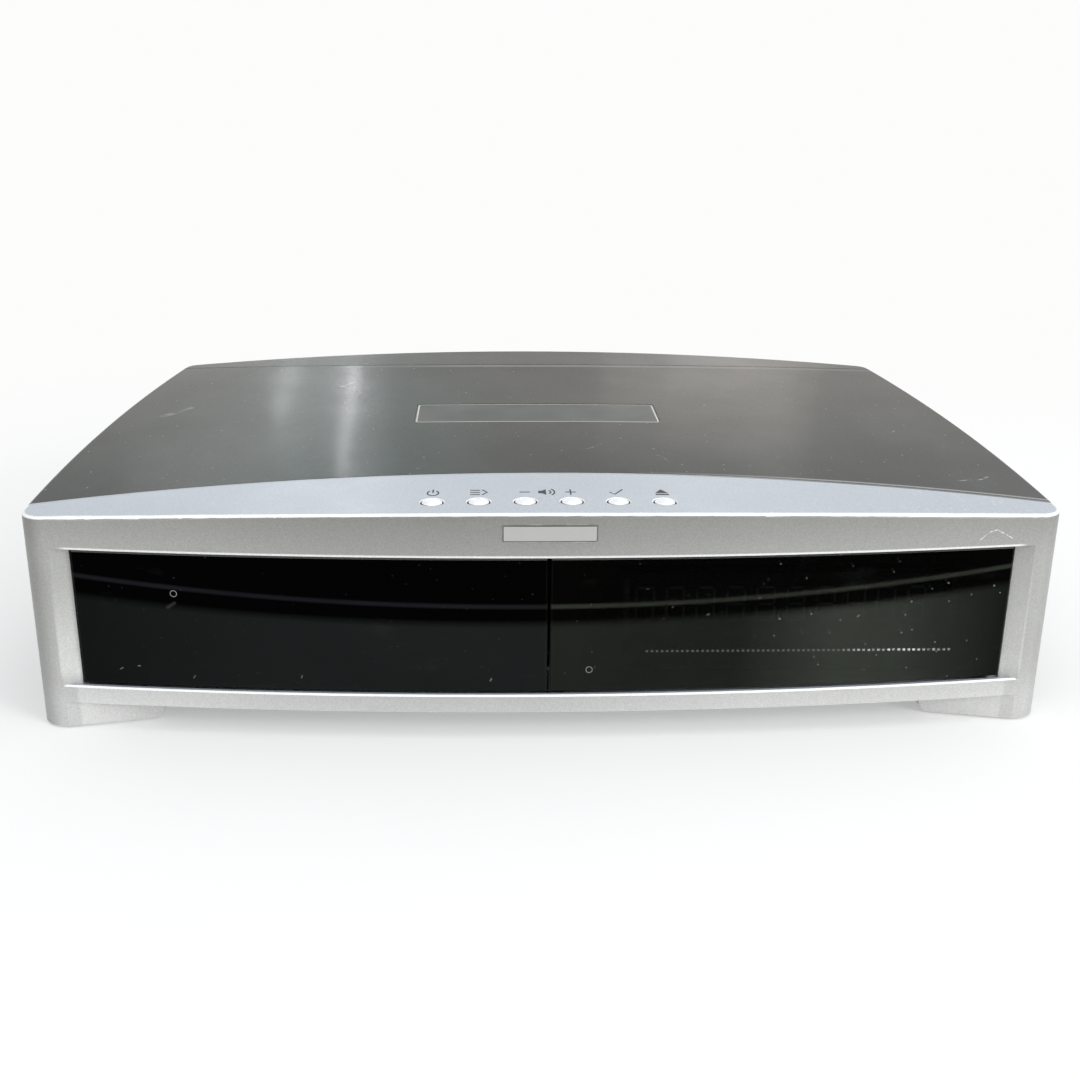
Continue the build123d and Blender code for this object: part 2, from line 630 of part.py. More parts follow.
def make_front_pads():
    """Rubber pads under the two front feet."""
    pads = []
    inner = OPENING_HALF + RETURN_WIDTH - FOOT_REACH + FOOT_ROUND + 1
    y = arc_y(OPENING_HALF, FRONT_RADIUS, FRONT_CENTER, -1) + FOOT_SETBACK + FOOT_THICK / 2 + 2
    for side in (-1, 1):
        x = sorted((side * inner, side * (OPENING_HALF + RETURN_WIDTH - 2)))
        pads.append(block(*x, y - PAD_DEPTH / 2, y + PAD_DEPTH / 2, 0, PAD_T))
    return Compound(pads)


def make_pucks():
    """Two rubber feet under the back of the pan."""
    pucks = []
    for side in (-1, 1):
        puck = post(side * PUCK_X, PUCK_Y, 0, RAIL_BOTTOM, PUCK_R)
        puck = chamfer(puck.edges().filter_by(GeomType.CIRCLE).sort_by(Axis.Z)[0], 1.2)
        puck -= post(side * PUCK_X, PUCK_Y, -1, RAIL_BOTTOM - PUCK_WEB, SCREW_HEAD_R + 1)
        pucks.append(puck)
    return Compound(pucks)


def screw():
    """Round-headed screw: shank down from the origin, head above it."""
    head = Cylinder(SCREW_HEAD_R, SCREW_HEAD_T, align=(Align.CENTER, Align.CENTER, Align.MIN))
    head = fillet(head.edges().filter_by(GeomType.CIRCLE).sort_by(Axis.Z)[-1], SCREW_HEAD_T * 0.5)
    slot = Pos(0, 0, SCREW_HEAD_T) * (Box(SCREW_HEAD_R, 0.7, 1.2) + Box(0.7, SCREW_HEAD_R, 1.2))
    shank = Cylinder(SCREW_R, SCREW_LENGTH, align=(Align.CENTER, Align.CENTER, Align.MAX))
    return head - slot + shank


def make_rear_screws():
    """Screws through the rear panel and the pan's flange."""
    back = REAR_PANEL_Y + REAR_PANEL_T
    return Compound([Pos(x, back, REAR_SCREW_Z) * Rot(-90, 0, 0) * screw() for x in REAR_SCREW_XS])


def make_loader_screws():
    """Screws that hold the loader's feet to the pan."""
    return Compound([Pos(x, y, PAN_TOP + LOADER_FOOT_T) * screw() for x, y in LOADER_FEET])


def bevelled(strip):
    """Small bevel on the front edges of a panel."""
    def on_front(edge):
        points = [edge.position_at(t) for t in (0, 0.5, 1)]
        return all(abs(hypot(p.X, p.Y - FRONT_CENTER) - PANEL_FRONT_R) < 0.01 for p in points)
    return chamfer(strip.edges().filter_by(on_front), PANEL_BEVEL)


def make_door():
    """Folding door with an ear at each end for its hinge pins."""
    body = front_strip(PANEL_FRONT_R, PANEL_BACK_R, -PANEL_END, -SEAM_GAP / 2, PANEL_BOTTOM, PANEL_TOP)
    body = bevelled(body)
    for side in (-1, 1):
        x = sorted((side * (DOOR_HALF - HINGE_EAR_T), side * DOOR_HALF))
        ear = rod_x(0, 0, *x, HINGE_EAR_R) + block(*x, -HINGE_BACK - 1.2, 0, -HINGE_EAR_R, HINGE_EAR_R)
        ear -= rod_x(0, 0, x[0] - 1, x[1] + 1, HINGE_PIN_R)
        body += DOOR_PLACE * ear
    return body


def make_door_pins():
    """Steel hinge pins, pressed into the door's ears."""
    pins = []
    for side in (-1, 1):
        x = sorted((side * (DOOR_HALF - HINGE_EAR_T), side * (DOOR_HALF - HINGE_EAR_T + HINGE_PIN_LENGTH)))
        pins.append(DOOR_PLACE * rod_x(0, 0, *x, HINGE_PIN_R))
    return Compound(pins)


def make_door_bracket():
    """Bracket that carries the door's inner pin, standing on the bezel's shelf."""
    x0 = DOOR_HALF + HINGE_SIDE_GAP
    low = SHELF_TOP - HINGE_Z
    arm = block(x0, x0 + HINGE_BRACKET_T, -HINGE_BACK + 0.3, HINGE_BACK + 3, low, HINGE_EAR_R)
    base = block(x0, x0 + 3 * HINGE_BRACKET_T, HINGE_BACK, HINGE_BACK + 6, low, low + HINGE_BRACKET_T)
    return DOOR_PLACE * (arm + base - rod_x(0, 0, x0 - 1, x0 + HINGE_BRACKET_T + 1, HINGE_PIN_R + RUNNING))


def make_window():
    """Smoked display window."""
    body = front_strip(PANEL_FRONT_R, PANEL_BACK_R, SEAM_GAP / 2, PANEL_END, PANEL_BOTTOM, PANEL_TOP)
    return bevelled(body)


def make_button(x):
    """Domed button cap with a retaining flange and a stem."""
    top = top_z(x, BUTTON_Y)
    flange_top = top - DECK_T - SWITCH_SLACK
    cap = post(x, BUTTON_Y, flange_top, top - 0.1, BUTTON_R)
    dome_r = (BUTTON_R**2 + BUTTON_DOME**2) / (2 * BUTTON_DOME)
    dome = Pos(x, BUTTON_Y, top - 0.1 + BUTTON_DOME - dome_r) * Sphere(dome_r)
    dome = dome & post(x, BUTTON_Y, top - 0.1, top + BUTTON_DOME, BUTTON_R)
    flange = post(x, BUTTON_Y, flange_top - BUTTON_FLANGE_T, flange_top, BUTTON_FLANGE_R)
    stem = post(x, BUTTON_Y, SWITCH_TOP + BUTTON_TRAVEL + SWITCH_SLACK, flange_top, STEM_R)
    return cap + dome + flange + stem


def make_button_board():
    """Board under the buttons, screwed to the deck's bosses."""
    half = BUTTON_BOARD_WIDTH / 2
    return block(-half, half, BUTTON_Y - BUTTON_BOARD_DEPTH / 2, BUTTON_Y + BUTTON_BOARD_DEPTH / 2,
                 BUTTON_BOARD_TOP - BOARD_T, BUTTON_BOARD_TOP)


def make_switches():
    """Push switches, one under each button."""
    half = SWITCH_SIZE / 2
    body_top = SWITCH_TOP - SWITCH_T / 3
    parts = []
    for x in BUTTON_XS:
        box = block(x - half, x + half, BUTTON_Y - half, BUTTON_Y + half, BUTTON_BOARD_TOP, body_top)
        parts.append(box + post(x, BUTTON_Y, body_top, SWITCH_TOP, STEM_R))
    return Compound(parts)


def make_tray():
    """Disc tray with its wells, its slot for the drive, guide grooves and the rack on its left edge."""
    body = block(TRAY_LEFT, TRAY_RIGHT, TRAY_FRONT, TRAY_BACK, TRAY_BOTTOM, TRAY_TOP)
    corners = body.edges().filter_by(Axis.Z).filter_by(lambda e: e.center().Y > 0)
    body = fillet(corners, WELL_MARGIN)
    body -= post(TRAY_CENTER_X, WELL_Y, TRAY_TOP - WELL_DEEP, TRAY_TOP + 1, WELL_R)
    body -= post(TRAY_CENTER_X, WELL_Y, TRAY_TOP - WELL_DEEP - SMALL_WELL_DEEP, TRAY_TOP, SMALL_WELL_R)
    body -= post(TRAY_CENTER_X, WELL_Y, TRAY_BOTTOM - 1, TRAY_TOP, TRAY_SLOT / 2)
    half_slot = TRAY_SLOT / 2
    body -= block(TRAY_CENTER_X - half_slot, TRAY_CENTER_X + half_slot, WELL_Y, WELL_Y + TRAY_SLOT_BACK,
                  TRAY_BOTTOM - 1, TRAY_TOP + 1)
    body -= post(TRAY_CENTER_X, TRAY_FRONT, TRAY_TOP - WELL_DEEP, TRAY_TOP + 1, FINGER_R)
    for side in (-1, 1):
        x = guide_x(side)
        half = GUIDE_WIDTH / 2 + GUIDE_SIDE_GAP
        body -= block(x - half, x + half, TRAY_FRONT - 1, TRAY_BACK + 1, TRAY_BOTTOM - 1,
                      TRAY_BOTTOM + GROOVE_DEEP)
    tooth = rack_tooth()
    pitch = pi * MODULE
    count = int((TRAY_BACK - WELL_MARGIN - PINION_Y) / pitch)
    ahead = int((PINION_Y - TRAY_FRONT - pitch / 2) / pitch)
    teeth = [Pos(0, PINION_Y + i * pitch, 0) * tooth for i in range(-ahead, count + 1)]
    return body + teeth


def rack_tooth():
    """One straight-sided tooth on the tray's left edge, at y = 0."""
    lean = tan(radians(PRESSURE_ANGLE))
    half = pi * MODULE / 4 - BACKLASH / 4
    tip = half - MODULE * lean
    root = half + 1.25 * MODULE * lean
    tip_x = TRAY_LEFT - 2.25 * MODULE
    face = make_face(Polyline((TRAY_LEFT + 0.5, -root), (TRAY_LEFT, -root), (tip_x, -tip), (tip_x, tip),
                              (TRAY_LEFT, root), (TRAY_LEFT + 0.5, root), close=True))
    return prism(face, TRAY_BOTTOM, TRAY_TOP)


def make_pinion():
    """Tray pinion with its belt pulley below, bored for its shaft."""
    base_r = PITCH_R * cos(radians(PRESSURE_ANGLE))
    tip_r = PITCH_R + MODULE
    root_r = PITCH_R - 1.25 * MODULE
    half_pitch = pi / (2 * PINION_TEETH) - BACKLASH / (4 * PITCH_R)
    start = tan(radians(PRESSURE_ANGLE)) - radians(PRESSURE_ANGLE)

    def flank(r):
        """Half angle of a tooth at radius r."""
        if r <= base_r:
            return half_pitch + start
        angle = sqrt((r / base_r) ** 2 - 1)
        return half_pitch + start - (angle - asin(angle / sqrt(1 + angle**2)))

    def at(r, angle):
        return (r * cos(angle), r * sin(angle))

    gear = post(0, 0, 0, GEAR_T, root_r)
    radii = (root_r - 0.3, base_r, (base_r + PITCH_R) / 2, PITCH_R, (PITCH_R + tip_r) / 2, tip_r)
    for i in range(PINION_TEETH):
        middle = 2 * pi * (i + 0.5) / PINION_TEETH
        left = [at(r, middle - flank(r)) for r in radii]
        right = [at(r, middle + flank(r)) for r in reversed(radii)]
        gear += prism(make_face(Polyline(*left, *right, close=True)), 0, GEAR_T)
    gear = Pos(PINION_X, PINION_Y, TRAY_BOTTOM + 0.3) * gear
    pulley = grooved_pulley(PINION_X, PINION_Y, PULLEY_R)
    hub = post(PINION_X, PINION_Y, PULLEY_Z + PULLEY_T, TRAY_BOTTOM + 0.3, HUB_R)
    return gear + hub + pulley - post(PINION_X, PINION_Y, 0, HEIGHT, SHAFT_R + RUNNING)


def grooved_pulley(x, y, r):
    """Flat pulley with a square belt groove."""
    groove = PULLEY_Z + (PULLEY_T - BELT) / 2 - BELT_GAP
    cut = post(x, y, groove, groove + BELT + 2 * BELT_GAP, r + 1)
    cut -= post(x, y, groove, groove + BELT + 2 * BELT_GAP, r - PULLEY_GROOVE)
    return post(x, y, PULLEY_Z, PULLEY_Z + PULLEY_T, r) - cut


def make_motor_pulley():
    """Pulley with the loading motor's shaft."""
    shaft = post(PINION_X, MOTOR_Y, LOADER_DECK_Z - 6, PULLEY_Z + PULLEY_T, SHAFT_R)
    return grooved_pulley(PINION_X, MOTOR_Y, MOTOR_PULLEY_R) + shaft


def belt_loop(grow):
    """Plan of a taut loop round both pulleys."""
    big = PULLEY_R - PULLEY_GROOVE + grow
    small = MOTOR_PULLEY_R - PULLEY_GROOVE + grow
    lean = asin((big - small) / BELT_CENTERS)
    points = []
    for r, y, sides in ((big, PINION_Y, (-1, 1)), (small, MOTOR_Y, (1, -1))):
        points += [(PINION_X + s * r * cos(lean), y + r * sin(lean)) for s in sides]
    loop = make_face(Polyline(*points, close=True))
    return loop + Pos(PINION_X, PINION_Y) * Circle(big) + Pos(PINION_X, MOTOR_Y) * Circle(small)


def make_belt():
    """Square rubber belt."""
    z = PULLEY_Z + (PULLEY_T - BELT) / 2
    return prism(belt_loop(BELT_GAP + BELT) - belt_loop(BELT_GAP), z, z + BELT)


def make_loading_motor():
    """Loading motor under the loader's deck."""
    can = post(PINION_X, MOTOR_Y, LOADER_DECK_Z - LOADING_MOTOR_H, LOADER_DECK_Z, LOADING_MOTOR_R)
    can = fillet(can.edges().filter_by(GeomType.CIRCLE).sort_by(Axis.Z)[0], 1.5)
    cap = post(PINION_X, MOTOR_Y, LOADER_DECK_Z - LOADING_MOTOR_H - 1.5, LOADER_DECK_Z - LOADING_MOTOR_H, 4)
    return can + cap - post(PINION_X, MOTOR_Y, LOADER_DECK_Z - 6.5, HEIGHT, SHAFT_R + RUNNING)


def guide_x(side):
    """Middle of a tray guide rail."""
    return TRAY_CENTER_X + side * (TRAY_WIDTH / 2 - GUIDE_INSET)


def make_loader():
    """Loader frame: side walls with legs and feet, deck, guide rails, hold-down tabs and gear shaft boss."""
    body = block(LOADER_LEFT, LOADER_RIGHT, LOADER_FRONT, LOADER_BACK, LOADER_DECK_Z, DECK_TOP)
    body -= block(TRAY_CENTER_X - DECK_HOLE_HALF, TRAY_CENTER_X + DECK_HOLE_HALF, DRIVE_FRONT, DRIVE_BACK,
                  0, HEIGHT)
    for x in (LOADER_LEFT, LOADER_RIGHT - LOADER_WALL):
        wall = block(x, x + LOADER_WALL, LOADER_FRONT, LOADER_BACK, PAN_TOP, LOADER_TOP)
        wall -= block(x - 1, x + LOADER_WALL + 1, LOADER_FRONT + LOADER_LEG, LOADER_BACK - LOADER_LEG,
                      PAN_TOP - 1, LOADER_DECK_Z - LOADER_LEG)
        body += wall
    back = block(LOADER_LEFT, LOADER_RIGHT, LOADER_BACK - LOADER_WALL, LOADER_BACK, LOADER_DECK_Z, LOADER_TOP)
    body += back
    for x, y in LOADER_FEET:
        inner = LOADER_LEFT if x < TRAY_CENTER_X else LOADER_RIGHT - LOADER_FOOT
        body += block(inner, inner + LOADER_FOOT, y - LOADER_FOOT / 2, y + LOADER_FOOT / 2,
                      PAN_TOP, PAN_TOP + LOADER_FOOT_T)
    for side in (-1, 1):
        x = guide_x(side)
        body += block(x - GUIDE_WIDTH / 2, x + GUIDE_WIDTH / 2, LOADER_FRONT, LOADER_BACK, LOADER_DECK_Z,
                      TRAY_BOTTOM + GROOVE_DEEP - GUIDE_TOP_GAP)
    tab_z = TRAY_TOP + TAB_GAP
    for y in TAB_YS:
        body += block(LOADER_LEFT + 1, TRAY_LEFT + 3, y, y + 6, tab_z, tab_z + TAB_T)
        body += block(TRAY_RIGHT - 3, LOADER_RIGHT - 1, y, y + 6, tab_z, tab_z + TAB_T)
    for x, y in LOADER_FEET:
        body -= post(x, y, 0, PAN_TOP + LOADER_FOOT_T + 1, SCREW_R + SCREW_CLEARANCE)
    body -= post(PINION_X, MOTOR_Y, LOADER_DECK_Z - 1, DECK_TOP + 1, HUB_R)
    body -= post(PINION_X, PINION_Y, LOADER_DECK_Z - 1, DECK_TOP + 1, SHAFT_R)
    return body


def make_pinion_shaft():
    """Fixed steel pin on which the pinion turns."""
    return post(PINION_X, PINION_Y, LOADER_DECK_Z, TRAY_TOP + 0.5, SHAFT_R)


def make_bridge():
    """Steel bridge over the tray that carries the clamper."""
    y0, y1 = WELL_Y - BRIDGE_DEPTH / 2, WELL_Y + BRIDGE_DEPTH / 2
    body = block(LOADER_LEFT, LOADER_RIGHT, y0, y1, LOADER_TOP, LOADER_TOP + BRIDGE_T)
    for y in (y0, y1 - BRIDGE_T):
        body += block(LOADER_LEFT + 12, LOADER_RIGHT - 12, y, y + BRIDGE_T, LOADER_TOP, LOADER_TOP + 3)
    return body - post(TRAY_CENTER_X, WELL_Y, LOADER_TOP - 1, LOADER_TOP + 4, CLAMPER_NECK_R + CLAMPER_PLAY)


def make_clamper():
    """Clamper disc that rests loosely in the bridge."""
    flange_z = LOADER_TOP + BRIDGE_T
    plate_z = TRAY_TOP + 1.0
    flange = post(TRAY_CENTER_X, WELL_Y, flange_z, flange_z + CLAMPER_FLANGE_T, CLAMPER_R)
    neck = post(TRAY_CENTER_X, WELL_Y, plate_z, flange_z, CLAMPER_NECK_R)
    plate = post(TRAY_CENTER_X, WELL_Y, plate_z, plate_z + CLAMPER_FLANGE_T, CLAMPER_R)
    return flange + neck + plate


def make_drive():
    """Traverse chassis of the disc drive, with the supports of the rods."""
    x0, x1 = TRAY_CENTER_X - DRIVE_HALF_WIDTH, TRAY_CENTER_X + DRIVE_HALF_WIDTH
    body = block(x0, x1, DRIVE_FRONT, DRIVE_BACK, DRIVE_PLATE_Z, DRIVE_TOP)
    hole = SLED_WIDTH / 2 - 4
    body -= block(TRAY_CENTER_X - hole, TRAY_CENTER_X + hole, SLED_Y - SLED_LENGTH / 2, ROD_BACK - 3,
                  DRIVE_PLATE_Z - 1, DRIVE_TOP + 1)
    for side in (-1, 1):
        x = TRAY_CENTER_X + side * ROD_X
        for y0, y1 in ((ROD_FRONT, ROD_FRONT + 3), (ROD_BACK - 3, ROD_BACK)):
            body += block(x - 3, x + 3, y0, y1, DRIVE_TOP, ROD_Z + 3)
            body -= rod_y(x, ROD_Z, y0 - 1, y1 + 1, ROD_R)
    lead = TRAY_CENTER_X + LEAD_X
    body += block(lead - 3, lead + 3, ROD_FRONT, ROD_FRONT + 3, DRIVE_TOP, ROD_Z + 3)
    body -= rod_y(lead, ROD_Z, ROD_FRONT - 1, ROD_FRONT + 4, LEAD_R + RUNNING)
    body += block(lead - 6, lead + 6, ROD_BACK, ROD_BACK + 2, DRIVE_TOP, ROD_Z + 3)
    body -= rod_y(lead, ROD_Z, ROD_BACK - 1, ROD_BACK + 3, LEAD_R + 1)
    return body


def make_grommets():
    """Rubber grommets between the loader's deck and the traverse chassis."""
    return Compound([post(x, y, DRIVE_TOP, LOADER_DECK_Z, GROMMET_R) for x, y in GROMMETS])


def make_spindle_motor():
    """Flat spindle motor on the traverse chassis."""
    can = post(TRAY_CENTER_X, WELL_Y, DRIVE_TOP, DRIVE_TOP + SPINDLE_MOTOR_H, SPINDLE_MOTOR_R)
    can = fillet(can.edges().filter_by(GeomType.CIRCLE).sort_by(Axis.Z)[-1], 1.2)
    return can - post(TRAY_CENTER_X, WELL_Y, DRIVE_TOP + 2, HEIGHT, SHAFT_R + RUNNING)


def make_turntable():
    """Turntable with its centring cone and shaft."""
    shaft = post(TRAY_CENTER_X, WELL_Y, DRIVE_TOP + 2.5, TURNTABLE_Z + 1, SHAFT_R)
    plate = post(TRAY_CENTER_X, WELL_Y, TURNTABLE_Z, TURNTABLE_Z + TURNTABLE_T, TURNTABLE_R)
    cone = Cone(TURNTABLE_CONE_R, TURNTABLE_CONE_R - 1, TURNTABLE_CONE_H)
    cone = Pos(TRAY_CENTER_X, WELL_Y, TURNTABLE_Z + TURNTABLE_T + TURNTABLE_CONE_H / 2) * cone
    ring = post(TRAY_CENTER_X, WELL_Y, TURNTABLE_Z + TURNTABLE_T - 0.4, TURNTABLE_Z + TURNTABLE_T,
                TURNTABLE_R - 1) - post(TRAY_CENTER_X, WELL_Y, 0, HEIGHT, TURNTABLE_R - 4)
    hub = post(TRAY_CENTER_X, WELL_Y, DRIVE_TOP + SPINDLE_MOTOR_H + 0.5, TURNTABLE_Z, HUB_R)
    return shaft + plate + cone - ring + hub


def make_sled():
    """Pickup sled with bores for its rods and a nut arm on the lead screw."""
    half = SLED_WIDTH / 2
    y0, y1 = SLED_Y - SLED_LENGTH / 2, SLED_Y + SLED_LENGTH / 2
    body = block(TRAY_CENTER_X - half, TRAY_CENTER_X + half, y0, y1, SLED_Z, SLED_Z + SLED_H)
    body = chamfer(body.edges().filter_by(Axis.Z), 3)
    lead = TRAY_CENTER_X + LEAD_X
    body += block(TRAY_CENTER_X + half - 4, lead + 3, SLED_Y - 3, SLED_Y + 3, SLED_Z, SLED_Z + 6)
    for side in (-1, 1):
        body -= rod_y(TRAY_CENTER_X + side * ROD_X, ROD_Z, y0 - 1, y1 + 1, ROD_R + RUNNING)
    return body - rod_y(lead, ROD_Z, SLED_Y - 4, SLED_Y + 4, LEAD_R + RUNNING)


def make_lens():
    """Objective lens in its holder on the sled."""
    z = SLED_Z + SLED_H
    holder = block(TRAY_CENTER_X - 6, TRAY_CENTER_X + 6, SLED_Y - 5, SLED_Y + 5, z, z + LENS_H)
    dome_r = (LENS_R**2 + 1) / 2
    dome = Pos(TRAY_CENTER_X, SLED_Y, z + LENS_H + 1 - dome_r) * Sphere(dome_r)
    dome = dome & post(TRAY_CENTER_X, SLED_Y, z + LENS_H - 0.5, z + LENS_H + 2, LENS_R)
    return holder + dome


def make_rods():
    """Two guide rods."""
    return Compound([rod_y(TRAY_CENTER_X + s * ROD_X, ROD_Z, ROD_FRONT, ROD_BACK, ROD_R) for s in (-1, 1)])


def make_lead_screw():
    """Lead screw from its front support to the sled motor."""
    lead = TRAY_CENTER_X + LEAD_X
    return rod_y(lead, ROD_Z, ROD_FRONT, ROD_BACK + 6, LEAD_R)


def make_sled_motor():
    """Small motor behind the traverse that turns the lead screw."""
    lead = TRAY_CENTER_X + LEAD_X
    y0 = ROD_BACK + 2
    can = rod_y(lead, ROD_Z, y0, y0 + SLED_MOTOR_LENGTH, SLED_MOTOR_R)
    return can - rod_y(lead, ROD_Z, y0 - 1, ROD_BACK + 7, LEAD_R + RUNNING)


def make_display_tube():
    """Glass display tube."""
    body = block(TUBE_LEFT, TUBE_RIGHT, DISPLAY_BOARD_Y - TUBE_DEEP, DISPLAY_BOARD_Y,
                 TUBE_BOTTOM, TUBE_BOTTOM + TUBE_HEIGHT)
    tip = rod_x(DISPLAY_BOARD_Y - TUBE_DEEP / 2, TUBE_BOTTOM + TUBE_HEIGHT / 2, TUBE_RIGHT - 1, TUBE_RIGHT + 3, 2)
    return body + tip


def make_display_board():
    """Upright board behind the display tube."""
    return block(DISPLAY_BOARD_LEFT, DISPLAY_BOARD_RIGHT, DISPLAY_BOARD_Y, DISPLAY_BOARD_Y + BOARD_T,
                 SHELF_TOP + 2, DISPLAY_BOARD_TOP)


def make_display_posts():
    """Two posts on the pan that carry the display board."""
    posts = []
    y0 = DISPLAY_BOARD_Y + BOARD_T
    for x in (DISPLAY_BOARD_LEFT, DISPLAY_BOARD_RIGHT - DISPLAY_POST):
        upright = block(x, x + DISPLAY_POST, y0, y0 + 2, SHELF_TOP, DISPLAY_BOARD_TOP - 10)
        posts.append(upright + block(x, x + DISPLAY_POST, y0, PILLAR_BACK - 1, SHELF_TOP, SHELF_TOP + 2))
    return Compound(posts)


def make_receiver():
    """Remote control receiver on the display board."""
    x = TUBE_LEFT - RECEIVER_SIZE - 2
    z = TUBE_BOTTOM + TUBE_HEIGHT / 2
    size = RECEIVER_SIZE
    body = block(x, x + size, DISPLAY_BOARD_Y - size * 0.6, DISPLAY_BOARD_Y, z - size, z + size / 2)
    return body + rod_y(x + size / 2, z - size / 6, DISPLAY_BOARD_Y - size * 0.9, DISPLAY_BOARD_Y - size * 0.5,
                        size * 0.35)


def make_main_board():
    """Main board."""
    return block(MAIN_LEFT, MAIN_RIGHT, MAIN_FRONT, MAIN_BACK, MAIN_Z, MAIN_TOP)


def make_standoffs():
    """Standoffs between the pan and the main board."""
    return Compound([post(x, y, PAN_TOP, MAIN_Z, STANDOFF_R) for x, y in STANDOFFS])


def make_chips():
    """Flat chip packages on the main board."""
    chips = []
    for x, y, wide, deep in CHIPS:
        chips.append(block(x - wide / 2, x + wide / 2, y - deep / 2, y + deep / 2, MAIN_TOP, MAIN_TOP + CHIP_T))
    return Compound(chips)


def make_heat_sink():
    """Finned heat sink on the first chip."""
    x, y = CHIPS[0][:2]
    z = MAIN_TOP + CHIP_T
    body = block(x - SINK_WIDTH / 2, x + SINK_WIDTH / 2, y - SINK_DEPTH / 2, y + SINK_DEPTH / 2, z, z + SINK_BASE)
    pitch = (SINK_WIDTH - SINK_FIN_T) / (SINK_FINS - 1)
    for i in range(SINK_FINS):
        fin = x - SINK_WIDTH / 2 + i * pitch
        body += block(fin, fin + SINK_FIN_T, y - SINK_DEPTH / 2, y + SINK_DEPTH / 2, z, z + SINK_H)
    return body


def make_capacitors():
    """Electrolytic capacitors on the main board."""
    cans = []
    for x, y, r, high in CAPACITORS:
        can = post(x, y, MAIN_TOP, MAIN_TOP + high, r)
        cans.append(fillet(can.edges().filter_by(GeomType.CIRCLE).sort_by(Axis.Z)[-1], 0.8))
    return Compound(cans)


def make_tuner():
    """Screened radio tuner can."""
    return block(TUNER_X - TUNER_WIDTH / 2, TUNER_X + TUNER_WIDTH / 2, SOCKET_FACE - TUNER_DEEP, SOCKET_FACE,
                 MAIN_TOP, MAIN_TOP + TUNER_HEIGHT)


def make_aerial_socket():
    """Round aerial socket on the tuner can."""
    body = rod_y(TUNER_X, AERIAL_Z, SOCKET_FACE, SOCKET_FACE + JACK_LENGTH, AERIAL_R)
    return body - rod_y(TUNER_X, AERIAL_Z, SOCKET_FACE + 2, SOCKET_FACE + JACK_LENGTH + 1, AERIAL_R - 1.2)


def make_jack_blocks():
    """Moulded blocks that hold the phono sockets."""
    blocks = []
    for x in SOCKET_XS[:JACK_BLOCKS]:
        blocks.append(block(x - JACK_WIDTH / 2, x + JACK_WIDTH / 2, SOCKET_FACE - JACK_DEEP, SOCKET_FACE,
                            MAIN_TOP, MAIN_TOP + JACK_HEIGHT))
    return Compound(blocks)


def make_jack_sleeves():
    """Phono socket sleeves."""
    sleeves = []
    for x, z in JACKS:
        sleeve = rod_y(x, z, SOCKET_FACE, SOCKET_FACE + JACK_LENGTH, JACK_SLEEVE_R)
        sleeve -= rod_y(x, z, SOCKET_FACE + 1, SOCKET_FACE + JACK_LENGTH + 1, JACK_BORE_R)
        sleeves.append(sleeve)
    return Compound(sleeves)


def make_round_socket(x, z, r, holes, wide):
    """Round multi-pin socket on its block: a ring of pin holes in a flush face."""
    half = wide / 2
    body = block(x - half, x + half, SOCKET_FACE - SOCKET_BLOCK_DEEP, SOCKET_FACE, MAIN_TOP, z + half)
    body += rod_y(x, z, SOCKET_FACE, SOCKET_FACE + 4, r)
    body -= rod_y(x, z, SOCKET_FACE + 1, SOCKET_FACE + 5, r - 1)
    for i in range(holes):
        angle = 2 * pi * (i + 0.5) / holes
        hole_x, hole_z = x + r * 0.55 * cos(angle), z + r * 0.55 * sin(angle)
        body -= rod_y(hole_x, hole_z, SOCKET_FACE - 5, SOCKET_FACE + 5, PIN_HOLE_R)
    return body


def make_square_socket(x, z, wide, high):
    """Square socket with a recessed mouth."""
    body = block(x - wide / 2, x + wide / 2, SOCKET_FACE - 12, SOCKET_FACE, MAIN_TOP, z + high / 2)
    body += block(x - wide / 2, x + wide / 2, SOCKET_FACE, SOCKET_FACE + 2, z - high / 2, z + high / 2)
    return body - block(x - wide / 2 + 2, x + wide / 2 - 2, SOCKET_FACE - 6, SOCKET_FACE + 3,
                        z - high / 2 + 2, z + high / 2 - 2)


def make_headers():
    """Ribbon headers on the main board."""
    half = (RIBBON_WIDTH + HEADER_T / 2) / 2
    header = Box(2 * half, HEADER_T, HEADER_H)
    z = MAIN_TOP + HEADER_H / 2
    front = Pos(RIBBON_X, MAIN_FRONT + HEADER_INSET, z) * header
    side = Pos(MAIN_LEFT + HEADER_INSET, 0, z) * Rot(0, 0, 90) * header
    return Compound([front, side])


def ribbon_section(points):
    """Thin band along a line of points, as a face in plan."""
    line = Polyline(*points)
    return trace(line, RIBBON_T)


def make_ribbons():
    """Flat cables: display board to main board, and disc drive to main board."""
    top = MAIN_TOP + HEADER_H + RIBBON_T / 2
    y0 = DISPLAY_BOARD_Y + BOARD_T
    route = [(y0, top + 9), (y0 + 3, top + 9), (MAIN_FRONT + 2, top), (MAIN_FRONT + 8, top)]
    face = Plane.YZ * ribbon_section(route)
    display = Pos(RIBBON_X, 0, 0) * extrude(face, RIBBON_WIDTH / 2, both=True)
    side = TRAY_CENTER_X + DRIVE_HALF_WIDTH
    z = DRIVE_PLATE_Z + DRIVE_PLATE_T / 2
    route = [(side, z), (side + 8, z), (MAIN_LEFT - 4, top), (MAIN_LEFT + 7, top)]
    face = Plane.XZ * ribbon_section(route)
    drive = extrude(face, RIBBON_WIDTH / 2, both=True)
    return Compound([display.solid(), drive.solid()])


